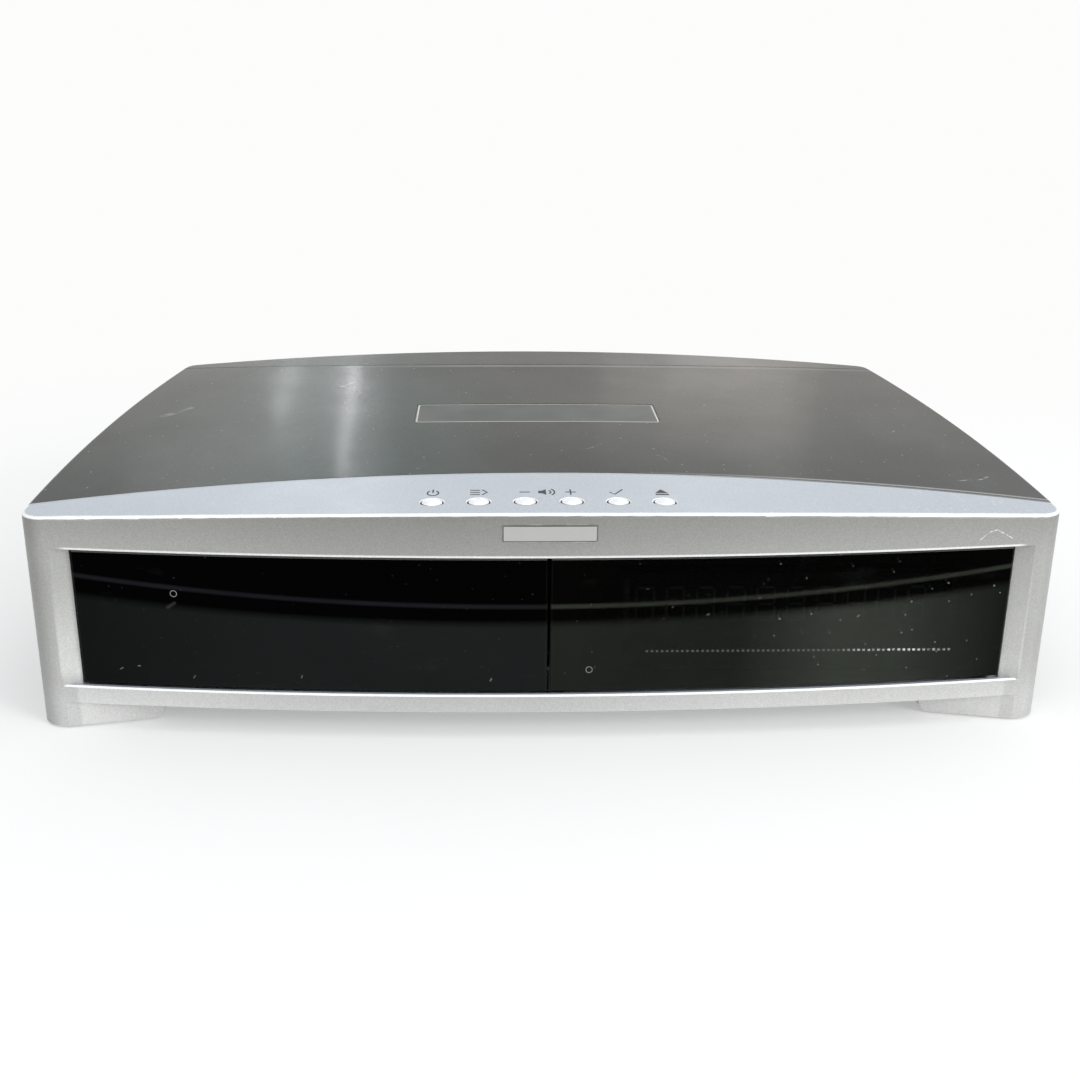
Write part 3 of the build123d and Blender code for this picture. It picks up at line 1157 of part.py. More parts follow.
# Places that several pieces share
BUTTON_Y = FRONT_Y + BUTTON_FROM_FRONT
BUTTON_XS = [(i - (len(BUTTON_NAMES) - 1) / 2) * BUTTON_PITCH for i in range(len(BUTTON_NAMES))]
BUTTON_BOARD_TOP = OPENING_TOP + 4.6
SWITCH_TOP = BUTTON_BOARD_TOP + SWITCH_T
BADGE_Z = (OPENING_TOP + HEIGHT - FRONT_DROP) / 2 + 0.9
PLAQUE_Y = FRONT_Y + PLAQUE_FROM_FRONT + PLAQUE_DEPTH / 2
HOOD_HALF = side_x(REAR_PANEL_Y) - HOOD_SIDE
PUCK_WEB = 3.0
FINGER_R = 12.0
PULLEY_Z = DECK_TOP + 0.8
TAB_YS = (LOADER_FRONT + 1, WELL_Y + 40)
ROD_FRONT = SLED_Y - SLED_LENGTH / 2 - 6
ROD_BACK = SLED_Y + SLED_TRAVEL + SLED_LENGTH / 2 + 6
VENT_X = (MAIN_LEFT + MAIN_RIGHT) / 2
VENT_ROW_FRONT = MAIN_FRONT + VENT_FROM_FRONT
VENT_ROW_BACK = MAIN_BACK - VENT_FROM_BACK
REAR_VENT_X = TRAY_CENTER_X - 6
REAR_VENT_Z = 46.0
REAR_SCREW_Z = PAN_TOP + PAN_REAR_FLANGE / 2
REAR_SCREW_XS = (33.0 - HALF, TRAY_CENTER_X + 25.0, MAIN_LEFT + 61.0, HALF - 26.0)
LOADER_FEET = [
    (x, y)
    for x in (LOADER_LEFT + LOADER_FOOT / 2 + 0.5, LOADER_RIGHT - LOADER_FOOT / 2 - 0.5)
    for y in (LOADER_FRONT + LOADER_FOOT / 2, LOADER_BACK - LOADER_FOOT / 2)
]
GROMMETS = [
    (TRAY_CENTER_X + s * (DRIVE_HALF_WIDTH - GROMMET_INSET), y)
    for s in (-1, 1)
    for y in (DRIVE_FRONT + GROMMET_INSET, DRIVE_BACK - GROMMET_INSET)
]
STANDOFFS = [
    (x, y)
    for x in (MAIN_LEFT + STANDOFF_INSET, VENT_X, MAIN_RIGHT - STANDOFF_INSET)
    for y in (MAIN_FRONT + STANDOFF_INSET, MAIN_BACK - 5 * STANDOFF_INSET)
]
CHIPS = [
    (VENT_X - 7.5, MAIN_FRONT + 60.0, 40.0, 34.0),
    (MAIN_LEFT + 24.0, MAIN_FRONT + 38.0, 24.0, 24.0),
    (MAIN_RIGHT - 30.0, MAIN_FRONT + 48.0, 20.0, 28.0),
    (MAIN_LEFT + 32.0, MAIN_FRONT + 110.0, 28.0, 28.0),
    (MAIN_RIGHT - 45.0, MAIN_FRONT + 108.0, 14.0, 20.0),
]
CAPACITORS = [
    (MAIN_RIGHT - 15.0, MAIN_FRONT + 16.0, 6.5, 20.0),
    (MAIN_RIGHT - 31.0, MAIN_FRONT + 16.0, 6.5, 20.0),
    (MAIN_RIGHT - 47.0, MAIN_FRONT + 16.0, 5.0, 14.0),
    (MAIN_RIGHT - 13.0, MAIN_FRONT + 120.0, 8.0, 24.0),
    (MAIN_RIGHT - 13.0, MAIN_FRONT + 140.0, 8.0, 24.0),
    (VENT_X - 17.5, MAIN_FRONT + 122.0, 4.0, 11.0),
    (VENT_X - 5.5, MAIN_FRONT + 122.0, 4.0, 11.0),
    (VENT_X + 6.5, MAIN_FRONT + 122.0, 4.0, 11.0),
]
RIBBON_X = VENT_X + 18.5
SOCKET_XS = row_middles(
    JACK_BLOCKS * [JACK_WIDTH] + [TUNER_WIDTH, VIDEO_BLOCK, OPTICAL_WIDTH, POWER_WIDTH, LINK_BLOCK],
    MAIN_LEFT + SOCKET_ROW_INSET, MAIN_RIGHT - SOCKET_ROW_INSET)
TUNER_X, VIDEO_X, OPTICAL_X, POWER_X, LINK_X = SOCKET_XS[JACK_BLOCKS:]
JACKS = [
    (x + s * JACK_PITCH_X / 2, JACK_LOW_Z + row * JACK_PITCH_Z)
    for x in SOCKET_XS[:JACK_BLOCKS]
    for s in (-1, 1)
    for row in (0, 1)
]
VIDEO_SOCKET = (VIDEO_X, VIDEO_Z, VIDEO_R)
LINK_SOCKET = (LINK_X, LINK_Z, LINK_R)
ROUND_SOCKETS = [(x, z, JACK_SLEEVE_R) for x, z in JACKS]
ROUND_SOCKETS += [(TUNER_X, AERIAL_Z, AERIAL_R), VIDEO_SOCKET, LINK_SOCKET]
OPTICAL_SOCKET = (OPTICAL_X, SQUARE_Z, OPTICAL_WIDTH, SQUARE_HEIGHT)
POWER_SOCKET = (POWER_X, SQUARE_Z, POWER_WIDTH, SQUARE_HEIGHT)
SQUARE_SOCKETS = [OPTICAL_SOCKET, POWER_SOCKET]

# Hinge of the door: its axis runs along the chord of the door's curve
DOOR_MID_X = -(PANEL_END + SEAM_GAP / 2) / 2
DOOR_LEAN = asin(-DOOR_MID_X / PANEL_FRONT_R)
DOOR_HALF = (PANEL_END - SEAM_GAP / 2) / 2 / cos(DOOR_LEAN)
DOOR_SAG = PANEL_FRONT_R - sqrt(PANEL_FRONT_R**2 - DOOR_HALF**2)
HINGE_DEPTH = DOOR_SAG + PANEL_T + HINGE_BACK
HINGE_Z = PANEL_BOTTOM + HINGE_RISE
HINGE_X = DOOR_MID_X + HINGE_DEPTH * sin(DOOR_LEAN)
HINGE_Y = arc_y(DOOR_MID_X, PANEL_FRONT_R, FRONT_CENTER, -1) + HINGE_DEPTH * cos(DOOR_LEAN)
DOOR_PLACE = Pos(HINGE_X, HINGE_Y, HINGE_Z) * Rot(0, 0, -degrees(DOOR_LEAN))


def main():
    parts = {
        "front_bezel": make_bezel(),
        "front_badge": make_badge(),
        "top_cover": make_cover(),
        "top_plaque": make_plaque(),
        "base_pan": make_pan(),
        "rear_panel": make_rear_panel(),
        "front_pads": make_front_pads(),
        "rear_feet": make_pucks(),
        "rear_screws": make_rear_screws(),
        "loader_screws": make_loader_screws(),
        "disc_door": make_door(),
        "door_pins": make_door_pins(),
        "door_bracket": make_door_bracket(),
        "display_window": make_window(),
        "button_board": make_button_board(),
        "push_switches": make_switches(),
        "disc_tray": make_tray(),
        "tray_pinion": make_pinion(),
        "pinion_shaft": make_pinion_shaft(),
        "motor_pulley": make_motor_pulley(),
        "drive_belt": make_belt(),
        "loading_motor": make_loading_motor(),
        "loader_frame": make_loader(),
        "clamp_bridge": make_bridge(),
        "disc_clamper": make_clamper(),
        "traverse_chassis": make_drive(),
        "traverse_grommets": make_grommets(),
        "spindle_motor": make_spindle_motor(),
        "turntable": make_turntable(),
        "pickup_sled": make_sled(),
        "objective_lens": make_lens(),
        "guide_rods": make_rods(),
        "lead_screw": make_lead_screw(),
        "sled_motor": make_sled_motor(),
        "display_tube": make_display_tube(),
        "display_board": make_display_board(),
        "display_posts": make_display_posts(),
        "remote_receiver": make_receiver(),
        "main_board": make_main_board(),
        "board_standoffs": make_standoffs(),
        "board_chips": make_chips(),
        "heat_sink": make_heat_sink(),
        "capacitors": make_capacitors(),
        "tuner_can": make_tuner(),
        "aerial_socket": make_aerial_socket(),
        "jack_blocks": make_jack_blocks(),
        "jack_sleeves": make_jack_sleeves(),
        "video_socket": make_round_socket(*VIDEO_SOCKET, 4, VIDEO_BLOCK),
        "link_socket": make_round_socket(*LINK_SOCKET, 9, LINK_BLOCK),
        "optical_socket": make_square_socket(*OPTICAL_SOCKET),
        "power_socket": make_square_socket(*POWER_SOCKET),
        "ribbon_headers": make_headers(),
        "ribbon_cables": make_ribbons(),
    }
    for name, x in zip(BUTTON_NAMES, BUTTON_XS):
        parts["button_" + name] = make_button(x)
    os.makedirs("parts", exist_ok=True)
    for node, shape in parts.items():
        export_step(shape, f"parts/{node}.step")


if __name__ == "__main__":
    main()
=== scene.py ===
"""Looks of the media console: materials, prints, display, sockets, stage, lights and camera.

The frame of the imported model: +X right, +Y back, +Z up. Materials, lights and camera are laid out in its metres.
The console's shape, its marks of wear and the pieces made here are given in millimetres.
"""
import json
from math import cos, pi, radians, sin, sqrt

import bmesh
import bpy
from mathutils import Matrix, Quaternion, Vector


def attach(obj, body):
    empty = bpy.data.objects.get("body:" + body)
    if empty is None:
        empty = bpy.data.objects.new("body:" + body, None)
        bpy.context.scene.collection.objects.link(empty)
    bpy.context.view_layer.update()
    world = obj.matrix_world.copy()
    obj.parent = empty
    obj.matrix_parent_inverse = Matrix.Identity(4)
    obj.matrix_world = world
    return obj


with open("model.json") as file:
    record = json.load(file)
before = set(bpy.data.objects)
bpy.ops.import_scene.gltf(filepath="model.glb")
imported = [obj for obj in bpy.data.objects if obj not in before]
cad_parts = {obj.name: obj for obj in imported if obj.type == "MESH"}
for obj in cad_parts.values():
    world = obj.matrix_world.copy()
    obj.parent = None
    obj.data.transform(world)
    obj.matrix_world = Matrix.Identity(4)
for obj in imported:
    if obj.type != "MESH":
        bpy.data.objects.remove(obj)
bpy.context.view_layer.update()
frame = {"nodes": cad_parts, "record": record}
NODES = frame["nodes"]
MM = 0.001

# Shape of the console in millimetres, as in the CAD source

HALF = 188.0
HEIGHT = 88.0
FRONT_Y = -134.0
FRONT_RADIUS = 1380.0
FRONT_CENTER = FRONT_Y + FRONT_RADIUS
FRONT_DROP = 0.7
FRONT_CROWN = 5.4
CREASE_CROWN = 2.6
CREASE_Y = 98.0
PANEL_RECESS = 1.5
PANEL_RADIUS = FRONT_RADIUS - PANEL_RECESS
DECK_RADIUS = 852.02
DECK_CENTER = -938.02
SIDE_RADIUS = 1173.0
SIDE_CENTER_Y = -86.0
PILLAR_BACK = -104.0
COVER_BOTTOM = 11.6
BUTTON_Y = -120.3
BUTTON_PITCH = 16.6
DISPLAY_Y = -118.0
REAR_FACE = 96.2
JACK_XS = (-4.0, 10.0, 27.0, 41.0)
JACK_ZS = (48.0, 30.0)
AERIAL = (63.0, 34.0)

# Marks of wear in millimetres: runs of points (x, y, z), in the lists with each run's width and strength

BAND_SCRATCH = [(155.1, -125.3, 73.6), (157.1, -125, 75.4), (158.8, -124.8, 76.8), (161.4, -124.5, 77.5),
                (163.9, -124.2, 76.2), (167.6, -123.8, 74.1)]
DECK_SCRATCH = [(136.7, -100.3, 84.8), (149.8, -97.4, 84.2), (152.6, -110.2, 84), (154.9, -117.8, 83.8)]
COVER_SCRATCHES = [
    (2.6, 0.24, [(-163.5, 7.7, 85), (-159, 13.9, 85.2), (-155, 20.3, 85.4)]),
    (1.4, 0.55, [(-90.6, 54.5, 87.2), (-85.6, 60.7, 87.3)]),
    (0.7, 0.55, [(159.8, -85.8, 84), (164.5, -84.5, 83.8)]),
    (0.6, 0.50, [(167, -84.2, 83.7), (169.5, -82.6, 83.6), (173.1, -79, 83.5)]),
    (0.3, 0.35, [(45.2, -61.4, 87.3), (47.6, -65.1, 87.2), (49.6, -71, 87.2)]),
    (0.4, 0.30, [(16.1, -54.3, 87.5), (19.8, -52.3, 87.5), (24.9, -45.4, 87.5)]),
    (0.4, 0.45, [(151.8, -19.6, 85.1), (153.6, -17.1, 85)]),
]
PANEL_SPECKS = [
    (0.8, 0.035, [(-136.2, -125.8, 49.5), (-133.6, -126, 51.3)]),
    (0.26, 0.22, [(-155.7, -123.7, 24.5), (-154.6, -123.8, 25.1)]),
    (0.26, 0.30, [(-149, -124.4, 26), (-148.2, -124.5, 26.1)]),
    (0.26, 0.20, [(-128.9, -126.5, 22), (-128.2, -126.5, 22.9)]),
    (0.26, 0.22, [(-89.4, -129.6, 23.2), (-89.1, -129.6, 24.1)]),
    (0.35, 0.25, [(-21, -132.3, 22.8), (-20.6, -132.3, 23.6)]),
    (0.35, 0.25, [(57, -131.3, 47.8), (57.6, -131.3, 48.1)]),
    (0.35, 0.25, [(112.6, -127.9, 45.3), (113.2, -127.9, 45.9)]),
]


def top_z(x, y):
    """Height of the crowned top ahead of the crease, in millimetres."""
    along = (y - FRONT_Y) / (CREASE_Y - FRONT_Y)
    crown = FRONT_CROWN + (CREASE_CROWN - FRONT_CROWN) * along
    return HEIGHT - FRONT_DROP * (1 - along) - crown * (x / HALF) ** 2


def panel_y(x):
    """Depth of the door's and window's front at x, in millimetres."""
    return FRONT_CENTER - sqrt(PANEL_RADIUS**2 - x**2)


# Node trees

NOISE_SPREAD = (0.3, 0.7)
EDGE_SPREAD = (0.035, 0.14)
MIDDLE_BLEND = 0.01
TO_SIDE = (0.03, 0.11)
FINE_GRAIN = 0.0009


class Nodes:
    """Shader node tree that is built by calls."""

    def __init__(self, tree):
        self.tree = tree
        self.tree.nodes.clear()

    def feed(self, socket, value):
        """Link an output to a socket, or set the socket to a number."""
        if value is None:
            return
        if isinstance(value, bpy.types.NodeSocket):
            self.tree.links.new(value, socket)
        else:
            socket.default_value = value

    def node(self, kind, *inputs, **options):
        """New node: inputs by order, numbers or outputs of other nodes."""
        made = self.tree.nodes.new("ShaderNode" + kind)
        for key, value in options.items():
            setattr(made, key, value)
        for i, value in enumerate(inputs):
            self.feed(made.inputs[i], value)
        return made

    def math(self, operation, a, b=None, c=None, clamp=False):
        return self.node("Math", a, b, c, operation=operation, use_clamp=clamp).outputs[0]

    def product(self, first, *others):
        for value in others:
            first = self.math("MULTIPLY", first, value)
        return first

    def most(self, first, *others):
        """The greatest of the values."""
        for value in others:
            first = self.math("MAXIMUM", first, value)
        return first

    def seen(self):
        """1 for rays that show a thing as it is seen or mirrored, 0 for those that gather its light."""
        path = self.node("LightPath").outputs
        return self.most(path["Is Transmission Ray"], path["Is Glossy Ray"], path["Is Camera Ray"])


class Paint(Nodes):
    """Procedural material around a Principled shader, laid out by the object's own coordinates."""

    def __init__(self, name, **sockets):
        self.material = bpy.data.materials.new(name)
        self.material.use_nodes = True
        super().__init__(self.material.node_tree)
        self.output = self.node("OutputMaterial")
        self.shader = self.node("BsdfPrincipled")
        self.feed(self.output.inputs[0], self.shader.outputs[0])
        self.place = self.node("TexCoord").outputs["Object"]
        for socket, value in sockets.items():
            self.shader.inputs[socket.replace("_", " ")].default_value = value

    # Places and directions

    def axis(self, letter, source=None):
        return self.node("SeparateXYZ", source or self.place).outputs["XYZ".index(letter)]

    def off(self, letter, centre=0.0):
        """Distance along an axis from a place on it."""
        return self.math("ABSOLUTE", self.math("SUBTRACT", self.axis(letter), centre))

    def facing(self, letter):
        """Share of the surface's normal along an axis."""
        return self.axis(letter, self.node("NewGeometry").outputs["Normal"])

    def stretch(self, scale):
        """Object coordinates, scaled along each axis."""
        return self.node("Mapping", self.place, (0, 0, 0), None, scale).outputs[0]

    def past_deck(self):
        """Distance in metres behind the front deck's curved rear edge, less than 0 on the deck."""
        depth = self.math("SUBTRACT", self.axis("Y"), DECK_CENTER * MM)
        flat = self.node("CombineXYZ", self.axis("X"), depth).outputs[0]
        reach = self.node("VectorMath", flat, operation="LENGTH").outputs["Value"]
        return self.math("SUBTRACT", reach, DECK_RADIUS * MM)

    def inset(self, axes, middle, half, corner):
        """Distance in metres from the edge of a round-cornered rectangle inwards, on the plane of two axes."""
        away = [self.math("SUBTRACT", self.off(letter, centre), reach - corner)
                for letter, centre, reach in zip(axes, middle, half)]
        beyond = [self.math("POWER", self.math("MAXIMUM", value, 0.0), 2.0) for value in away]
        bend = self.math("SQRT", self.math("ADD", *beyond))
        inner = self.math("MINIMUM", self.most(*away), 0.0)
        return self.math("SUBTRACT", corner, self.math("ADD", bend, inner))

    # Masks and levels

    def span(self, value, low, high, to_low=0.0, to_high=1.0):
        """Clamped change of range."""
        return self.node("MapRange", value, low, high, to_low, to_high).outputs[0]

    def band(self, value, low, start, end, high):
        """1 between start and end, down to 0 at low and at high."""
        return self.product(self.span(value, low, start), self.span(value, end, high, 1.0, 0.0))

    def sides(self, left, right):
        """One number left of the console's middle, another right of it."""
        return self.span(self.axis("X"), -MIDDLE_BLEND, MIDDLE_BLEND, left, right)

    def noise(self, size, detail, place=None, rough=0.5):
        """Noise with features of about size metres, 0 to 1."""
        made = self.node("TexNoise")
        self.feed(made.inputs["Vector"], place or self.place)
        made.inputs["Scale"].default_value = 1 / size
        made.inputs["Detail"].default_value = detail
        made.inputs["Roughness"].default_value = rough
        return made.outputs["Fac"]

    def vary(self, low, high, size, detail):
        """Noise with features of about size metres, spread between two numbers."""
        return self.span(self.noise(size, detail), *NOISE_SPREAD, low, high)

    def cells(self, size, feature="F1", place=None, output="Distance"):
        made = self.node("TexVoronoi", feature=feature)
        self.feed(made.inputs["Vector"], place or self.place)
        made.inputs["Scale"].default_value = 1 / size
        return made.outputs[output]

    def flakes(self, size, low, high):
        """A level of its own for each cell, between two numbers."""
        return self.span(self.cells(size, output="Color"), 0.0, 1.0, low, high)

    def specks(self, size, radius, axes="XY"):
        """1 in specks of a radius in metres, about one to each square of the size, on the plane of two axes."""
        made = self.node("TexVoronoi", voronoi_dimensions="2D")
        self.feed(made.inputs["Vector"], self.node("CombineXYZ", *map(self.axis, axes)).outputs[0])
        made.inputs["Scale"].default_value = 1 / size
        made.inputs["Randomness"].default_value = 1.0
        away = self.product(made.outputs["Distance"], self.vary(0.6, 1.4, FINE_GRAIN, 2))
        return self.span(away, 0.5 * radius / size, radius / size, 1.0, 0.0)

    def edges(self, radius):
        """1 on sharp edges, 0 on flat faces."""
        bevel = self.node("Bevel", radius, samples=4).outputs[0]
        normal = self.node("NewGeometry").outputs["Normal"]
        dot = self.node("VectorMath", bevel, normal, operation="DOT_PRODUCT").outputs["Value"]
        return self.span(self.math("SUBTRACT", 1.0, dot), *EDGE_SPREAD)

    def scratch(self, points, width):
        """1 along a chain of straight runs given in millimetres, 0 away from it."""
        lines = []
        for start, end in zip(points, points[1:]):
            a, b = Vector(start) * MM, Vector(end) * MM
            from_a = self.node("VectorMath", self.place, a, operation="SUBTRACT").outputs[0]
            dot = self.node("VectorMath", from_a, (b - a) / (b - a).length_squared, operation="DOT_PRODUCT")
            share = self.math("ADD", dot.outputs["Value"], 0.0, clamp=True)
            near = self.node("VectorMath", b - a, operation="SCALE")
            self.feed(near.inputs["Scale"], share)
            gap = self.node("VectorMath", from_a, near.outputs[0], operation="DISTANCE").outputs["Value"]
            lines.append(self.span(gap, 0.4 * width * MM, width * MM, 1.0, 0.0))
        return self.most(*lines)

    # Colours

    def mix(self, share, a, b, kind="MIX"):
        """Mix of two colours."""
        made = self.node("Mix", data_type="RGBA", blend_type=kind)
        for i, value in ((0, share), (6, a), (7, b)):
            self.feed(made.inputs[i], value)
        return made.outputs[2]

    def times(self, colour, factor):
        """Colour made darker or lighter by one factor."""
        return self.mix(1.0, colour, self.node("CombineColor", factor, factor, factor).outputs[0], "MULTIPLY")

    # Sockets of the shader

    def colour(self, value):
        self.feed(self.shader.inputs["Base Color"], value)

    def rough(self, value):
        self.feed(self.shader.inputs["Roughness"], value)

    def bump(self, *layers):
        """Stack of (height, depth in metres) layers."""
        normal = None
        for height, depth in layers:
            made = self.node("Bump")
            made.inputs["Strength"].default_value = 1.0
            made.inputs["Distance"].default_value = depth
            self.feed(made.inputs["Height"], height)
            self.feed(made.inputs["Normal"], normal)
            normal = made.outputs[0]
        self.feed(self.shader.inputs["Normal"], normal)


def grey(level, warm=0.0):
    """Colour of a plain grey; warm tips it to red and away from blue."""
    return (level * (1 + warm), level, level * (1 - warm), 1.0)


def scaled(colour, factor, more=0.0):
    """Colour with each channel times a factor, plus a little more."""
    return tuple(min(1, channel * factor + more) for channel in colour[:3]) + (1.0,)


# Silver bezel. The front's tones, paler towards the bottom, are painted light and shade. They stand from the top
# down: each blends into the one above between two heights.

SILVER_BAND = (0.250, 0.250, 0.233, 1)
SILVER_SHADE_TONES = (
    (0.066, 0.085, (0.365, 0.365, 0.350, 1)),
    (0.030, 0.066, (0.395, 0.395, 0.380, 1)),
    (0.010, 0.030, (0.60, 0.60, 0.588, 1)),
)
# Painted sheen: the deck's upward faces are paler and cooler than the front.
SILVER_DECK_SHEEN = (0.46, 0.50, 0.55, 1)
# Painted highlight along the band's lower edge.
SILVER_BRIM_HIGHLIGHT = (0.74, 0.745, 0.73, 1)
# Painted highlight on the rolled lip.
SILVER_LIP_HIGHLIGHT = (0.92, 0.93, 0.93, 1)
SILVER_CLOUD = (0.36, 0.37, 0.36, 1)
SILVER_BARE = (0.78, 0.78, 0.76, 1)
# Painted shadow of the gap between the deck and the cover.
SEAM_SHADOW = (0.045, 0.045, 0.05, 1)
SILVER_FLAKE = 0.00035

# Zones of the bezel in metres, two numbers for a ramp and four for a band. SEAM counts from the deck's rear edge.

# The next three zones hold painted shade at the left end and the pillars' low corners, and painted light where the
# pillars turn in.
LEFT_END_X, LEFT_END_Z = (-0.176, -0.164), (0.028, 0.056, 0.060, 0.074)
CORNER_X, CORNER_Z = (0.1715, 0.1730), (0.020, 0.030)
TURN_X, TURN_Z = (0.1685, 0.1690, 0.1774, 0.1780), (0.0185, 0.0225, 0.034, 0.066)
# Painted shade dims the front around DIM_MIDDLE, and painted light makes it paler towards the left end.
DIM_MIDDLE, DIM_REACH = -0.025, (0.02, 0.10)
PALE_LEFT = (-0.18, -0.10)
BRIM_X, BRIM_Z = (0.171, 0.174), (0.0707, 0.0708, 0.0714, 0.0717)
SEAM = (-0.0019, -0.0014)
FLECKED_X = (0.07, 0.14)
FLECKS = dict(size=0.0040, radius=0.0008)


def bezel_shade(p):
    """Factor of painted shade and light for the bezel's front: painted shade at the left end and low corners,
    painted light where the pillars turn in.
    """
    x, z, away = p.axis("X"), p.axis("Z"), p.off("X")
    left_end = p.product(p.span(x, *LEFT_END_X, 0.112, 0.0), p.band(z, *LEFT_END_Z))
    corner = p.product(p.span(away, *CORNER_X), p.span(z, *CORNER_Z, 1.0, 0.0), p.sides(0.17, 0.14))
    turn = p.product(p.band(away, *TURN_X), p.band(z, *TURN_Z), p.sides(0.33, 0.25))
    return p.product(p.math("SUBTRACT", 1.0, p.math("ADD", left_end, corner)), p.math("ADD", turn, 1.0))


def bezel_front(p):
    """Colour of the bezel's upright faces, with painted light and shade: paler low down, dimmer near the middle,
    paler at the left, and painted shade where they turn outwards at the ends.
    """
    tone = SILVER_BAND
    for low, high, lower in SILVER_SHADE_TONES:
        tone = p.mix(p.span(p.axis("Z"), low, high), lower, tone)
    middle = p.span(p.off("X", DIM_MIDDLE), *DIM_REACH, 0.88, 1.0)
    left = p.span(p.axis("X"), *PALE_LEFT, 1.14, 1.0)
    outward = p.product(p.facing("X"), p.math("SIGN", p.axis("X")))
    turned = p.span(outward, p.sides(0.10, 0.35), 1.0, 1.0, p.sides(0.45, 0.72))
    return p.times(tone, p.product(middle, left, bezel_shade(p), turned))


def bezel_marks(p, up):
    """Scratches on the band and the deck, and bare flecks on the deck's right part."""
    runs = p.most(p.scratch(BAND_SCRATCH, 0.22), p.product(p.scratch(DECK_SCRATCH, 0.25), 0.6))
    flecks = p.product(p.specks(**FLECKS), p.span(p.noise(0.010, 3), 0.48, 0.62),
                       p.span(p.axis("X"), *FLECKED_X, 0.0, 0.45), p.span(up, 0.9, 0.97))
    return p.product(p.most(runs, flecks), p.span(p.noise(0.0015, 2), 0.35, 0.60))


def silver_paint():
    """Metallic champagne silver of the bezel: a cool painted sheen on the deck, warm in front, painted highlights
    on the rolled lip and the band's lower edge, and a painted shadow in the gap by the cover.
    """
    p = Paint("champagne_paint", Metallic=0.3, IOR=1.45)
    up = p.facing("Z")
    # Painted highlight along the band's lower edge, on front faces, ending at the pillars.
    brim_highlight = p.product(p.band(p.axis("Z"), *BRIM_Z), p.span(p.off("X"), *BRIM_X, 1.0, 0.0),
                     p.span(p.facing("Y"), -0.9, -0.6, 1.0, 0.0))
    # Painted highlight on the rolled lip, and a weaker one on downward bevels.
    lip = p.most(p.band(up, 0.34, 0.52, 0.88, 0.98), p.product(p.band(up, -0.95, -0.85, -0.5, -0.3), 0.8))
    worn = p.product(p.edges(0.0006), p.span(p.noise(0.006, 3), 0.52, 0.66), 0.6)
    # Painted shadow in the gap along the deck's rear edge, stronger to the right.
    seam_shadow = p.product(p.span(p.past_deck(), *SEAM), p.span(up, 0.85, 0.95),
                     p.span(p.axis("X"), *TO_SIDE, 0.15, 0.85))
    # Painted sheen on the deck's upward faces.
    base = p.mix(p.span(up, 0.55, 0.97), bezel_front(p), SILVER_DECK_SHEEN)
    base = p.mix(brim_highlight, base, SILVER_BRIM_HIGHLIGHT)
    base = p.mix(lip, base, SILVER_LIP_HIGHLIGHT)
    base = p.mix(p.vary(0.0, 0.08, 0.045, 3), base, SILVER_CLOUD)
    base = p.times(base, p.flakes(SILVER_FLAKE, 0.86, 1.12))
    base = p.mix(p.most(worn, bezel_marks(p, up)), base, SILVER_BARE)
    p.colour(p.mix(seam_shadow, base, SEAM_SHADOW))
    p.rough(p.vary(0.30, 0.40, 0.030, 4))
    p.bump((p.noise(FINE_GRAIN, 2), 0.00001), (p.cells(SILVER_FLAKE), 0.000004))
    return p.material


# Graphite cover. Its tones are painted reflection: darker in front and in the middle, paler to the rear and the
# sides.

COVER_FRONT = (0.034, 0.037, 0.034, 1)
COVER_REAR = (0.062, 0.058, 0.049, 1)
COVER_SIDES = (0.074, 0.081, 0.077, 1)
COVER_WARM = (0.088, 0.076, 0.062, 1)
COVER_TEAL = (0.040, 0.062, 0.057, 1)
COVER_DARK = (0.028, 0.025, 0.019, 1)
# Painted sheen on the cover's left part.
COVER_LEFT_SHEEN = (0.115, 0.125, 0.122, 1)
# Painted highlights on the crease and on the rim by the deck.
COVER_CREASE_HIGHLIGHT = (0.190, 0.187, 0.170, 1)
COVER_RIM_HIGHLIGHT = (0.34, 0.34, 0.33, 1)
COVER_RUBBED = (0.40, 0.40, 0.39, 1)
COVER_MARK = (0.55, 0.56, 0.55, 1)
COVER_FLAKE = 0.0003

# Zones of the cover, in the same way. A REACH counts from its middle, and RIM from the deck's rear edge.

REARWARDS = (-0.10, 0.12)
WARM_X, WARM_Y = (-0.02, 0.10), (-0.07, 0.04)
TEAL_MIDDLE, TEAL_REACH = -0.078, (0.020, 0.065)
DARK_REACH, DARK_Y = (0.03, 0.09), (0.03, 0.09)
LEFT_SHEEN_MIDDLE, LEFT_SHEEN_REACH, LEFT_SHEEN_Y = -0.122, (0.010, 0.042), (-0.11, 0.08)
CREASE_LINE = (0.0925, 0.0940, 0.0965, 0.0978)
CREASE_LEFT, CREASE_RIGHT = (-0.100, -0.035), (0.02, 0.10)
RIM = (0.0004, 0.0008, 0.0019, 0.0025)
DUST = dict(size=0.016, radius=0.00040)
FINE_DUST = dict(size=0.0070, radius=0.00026)


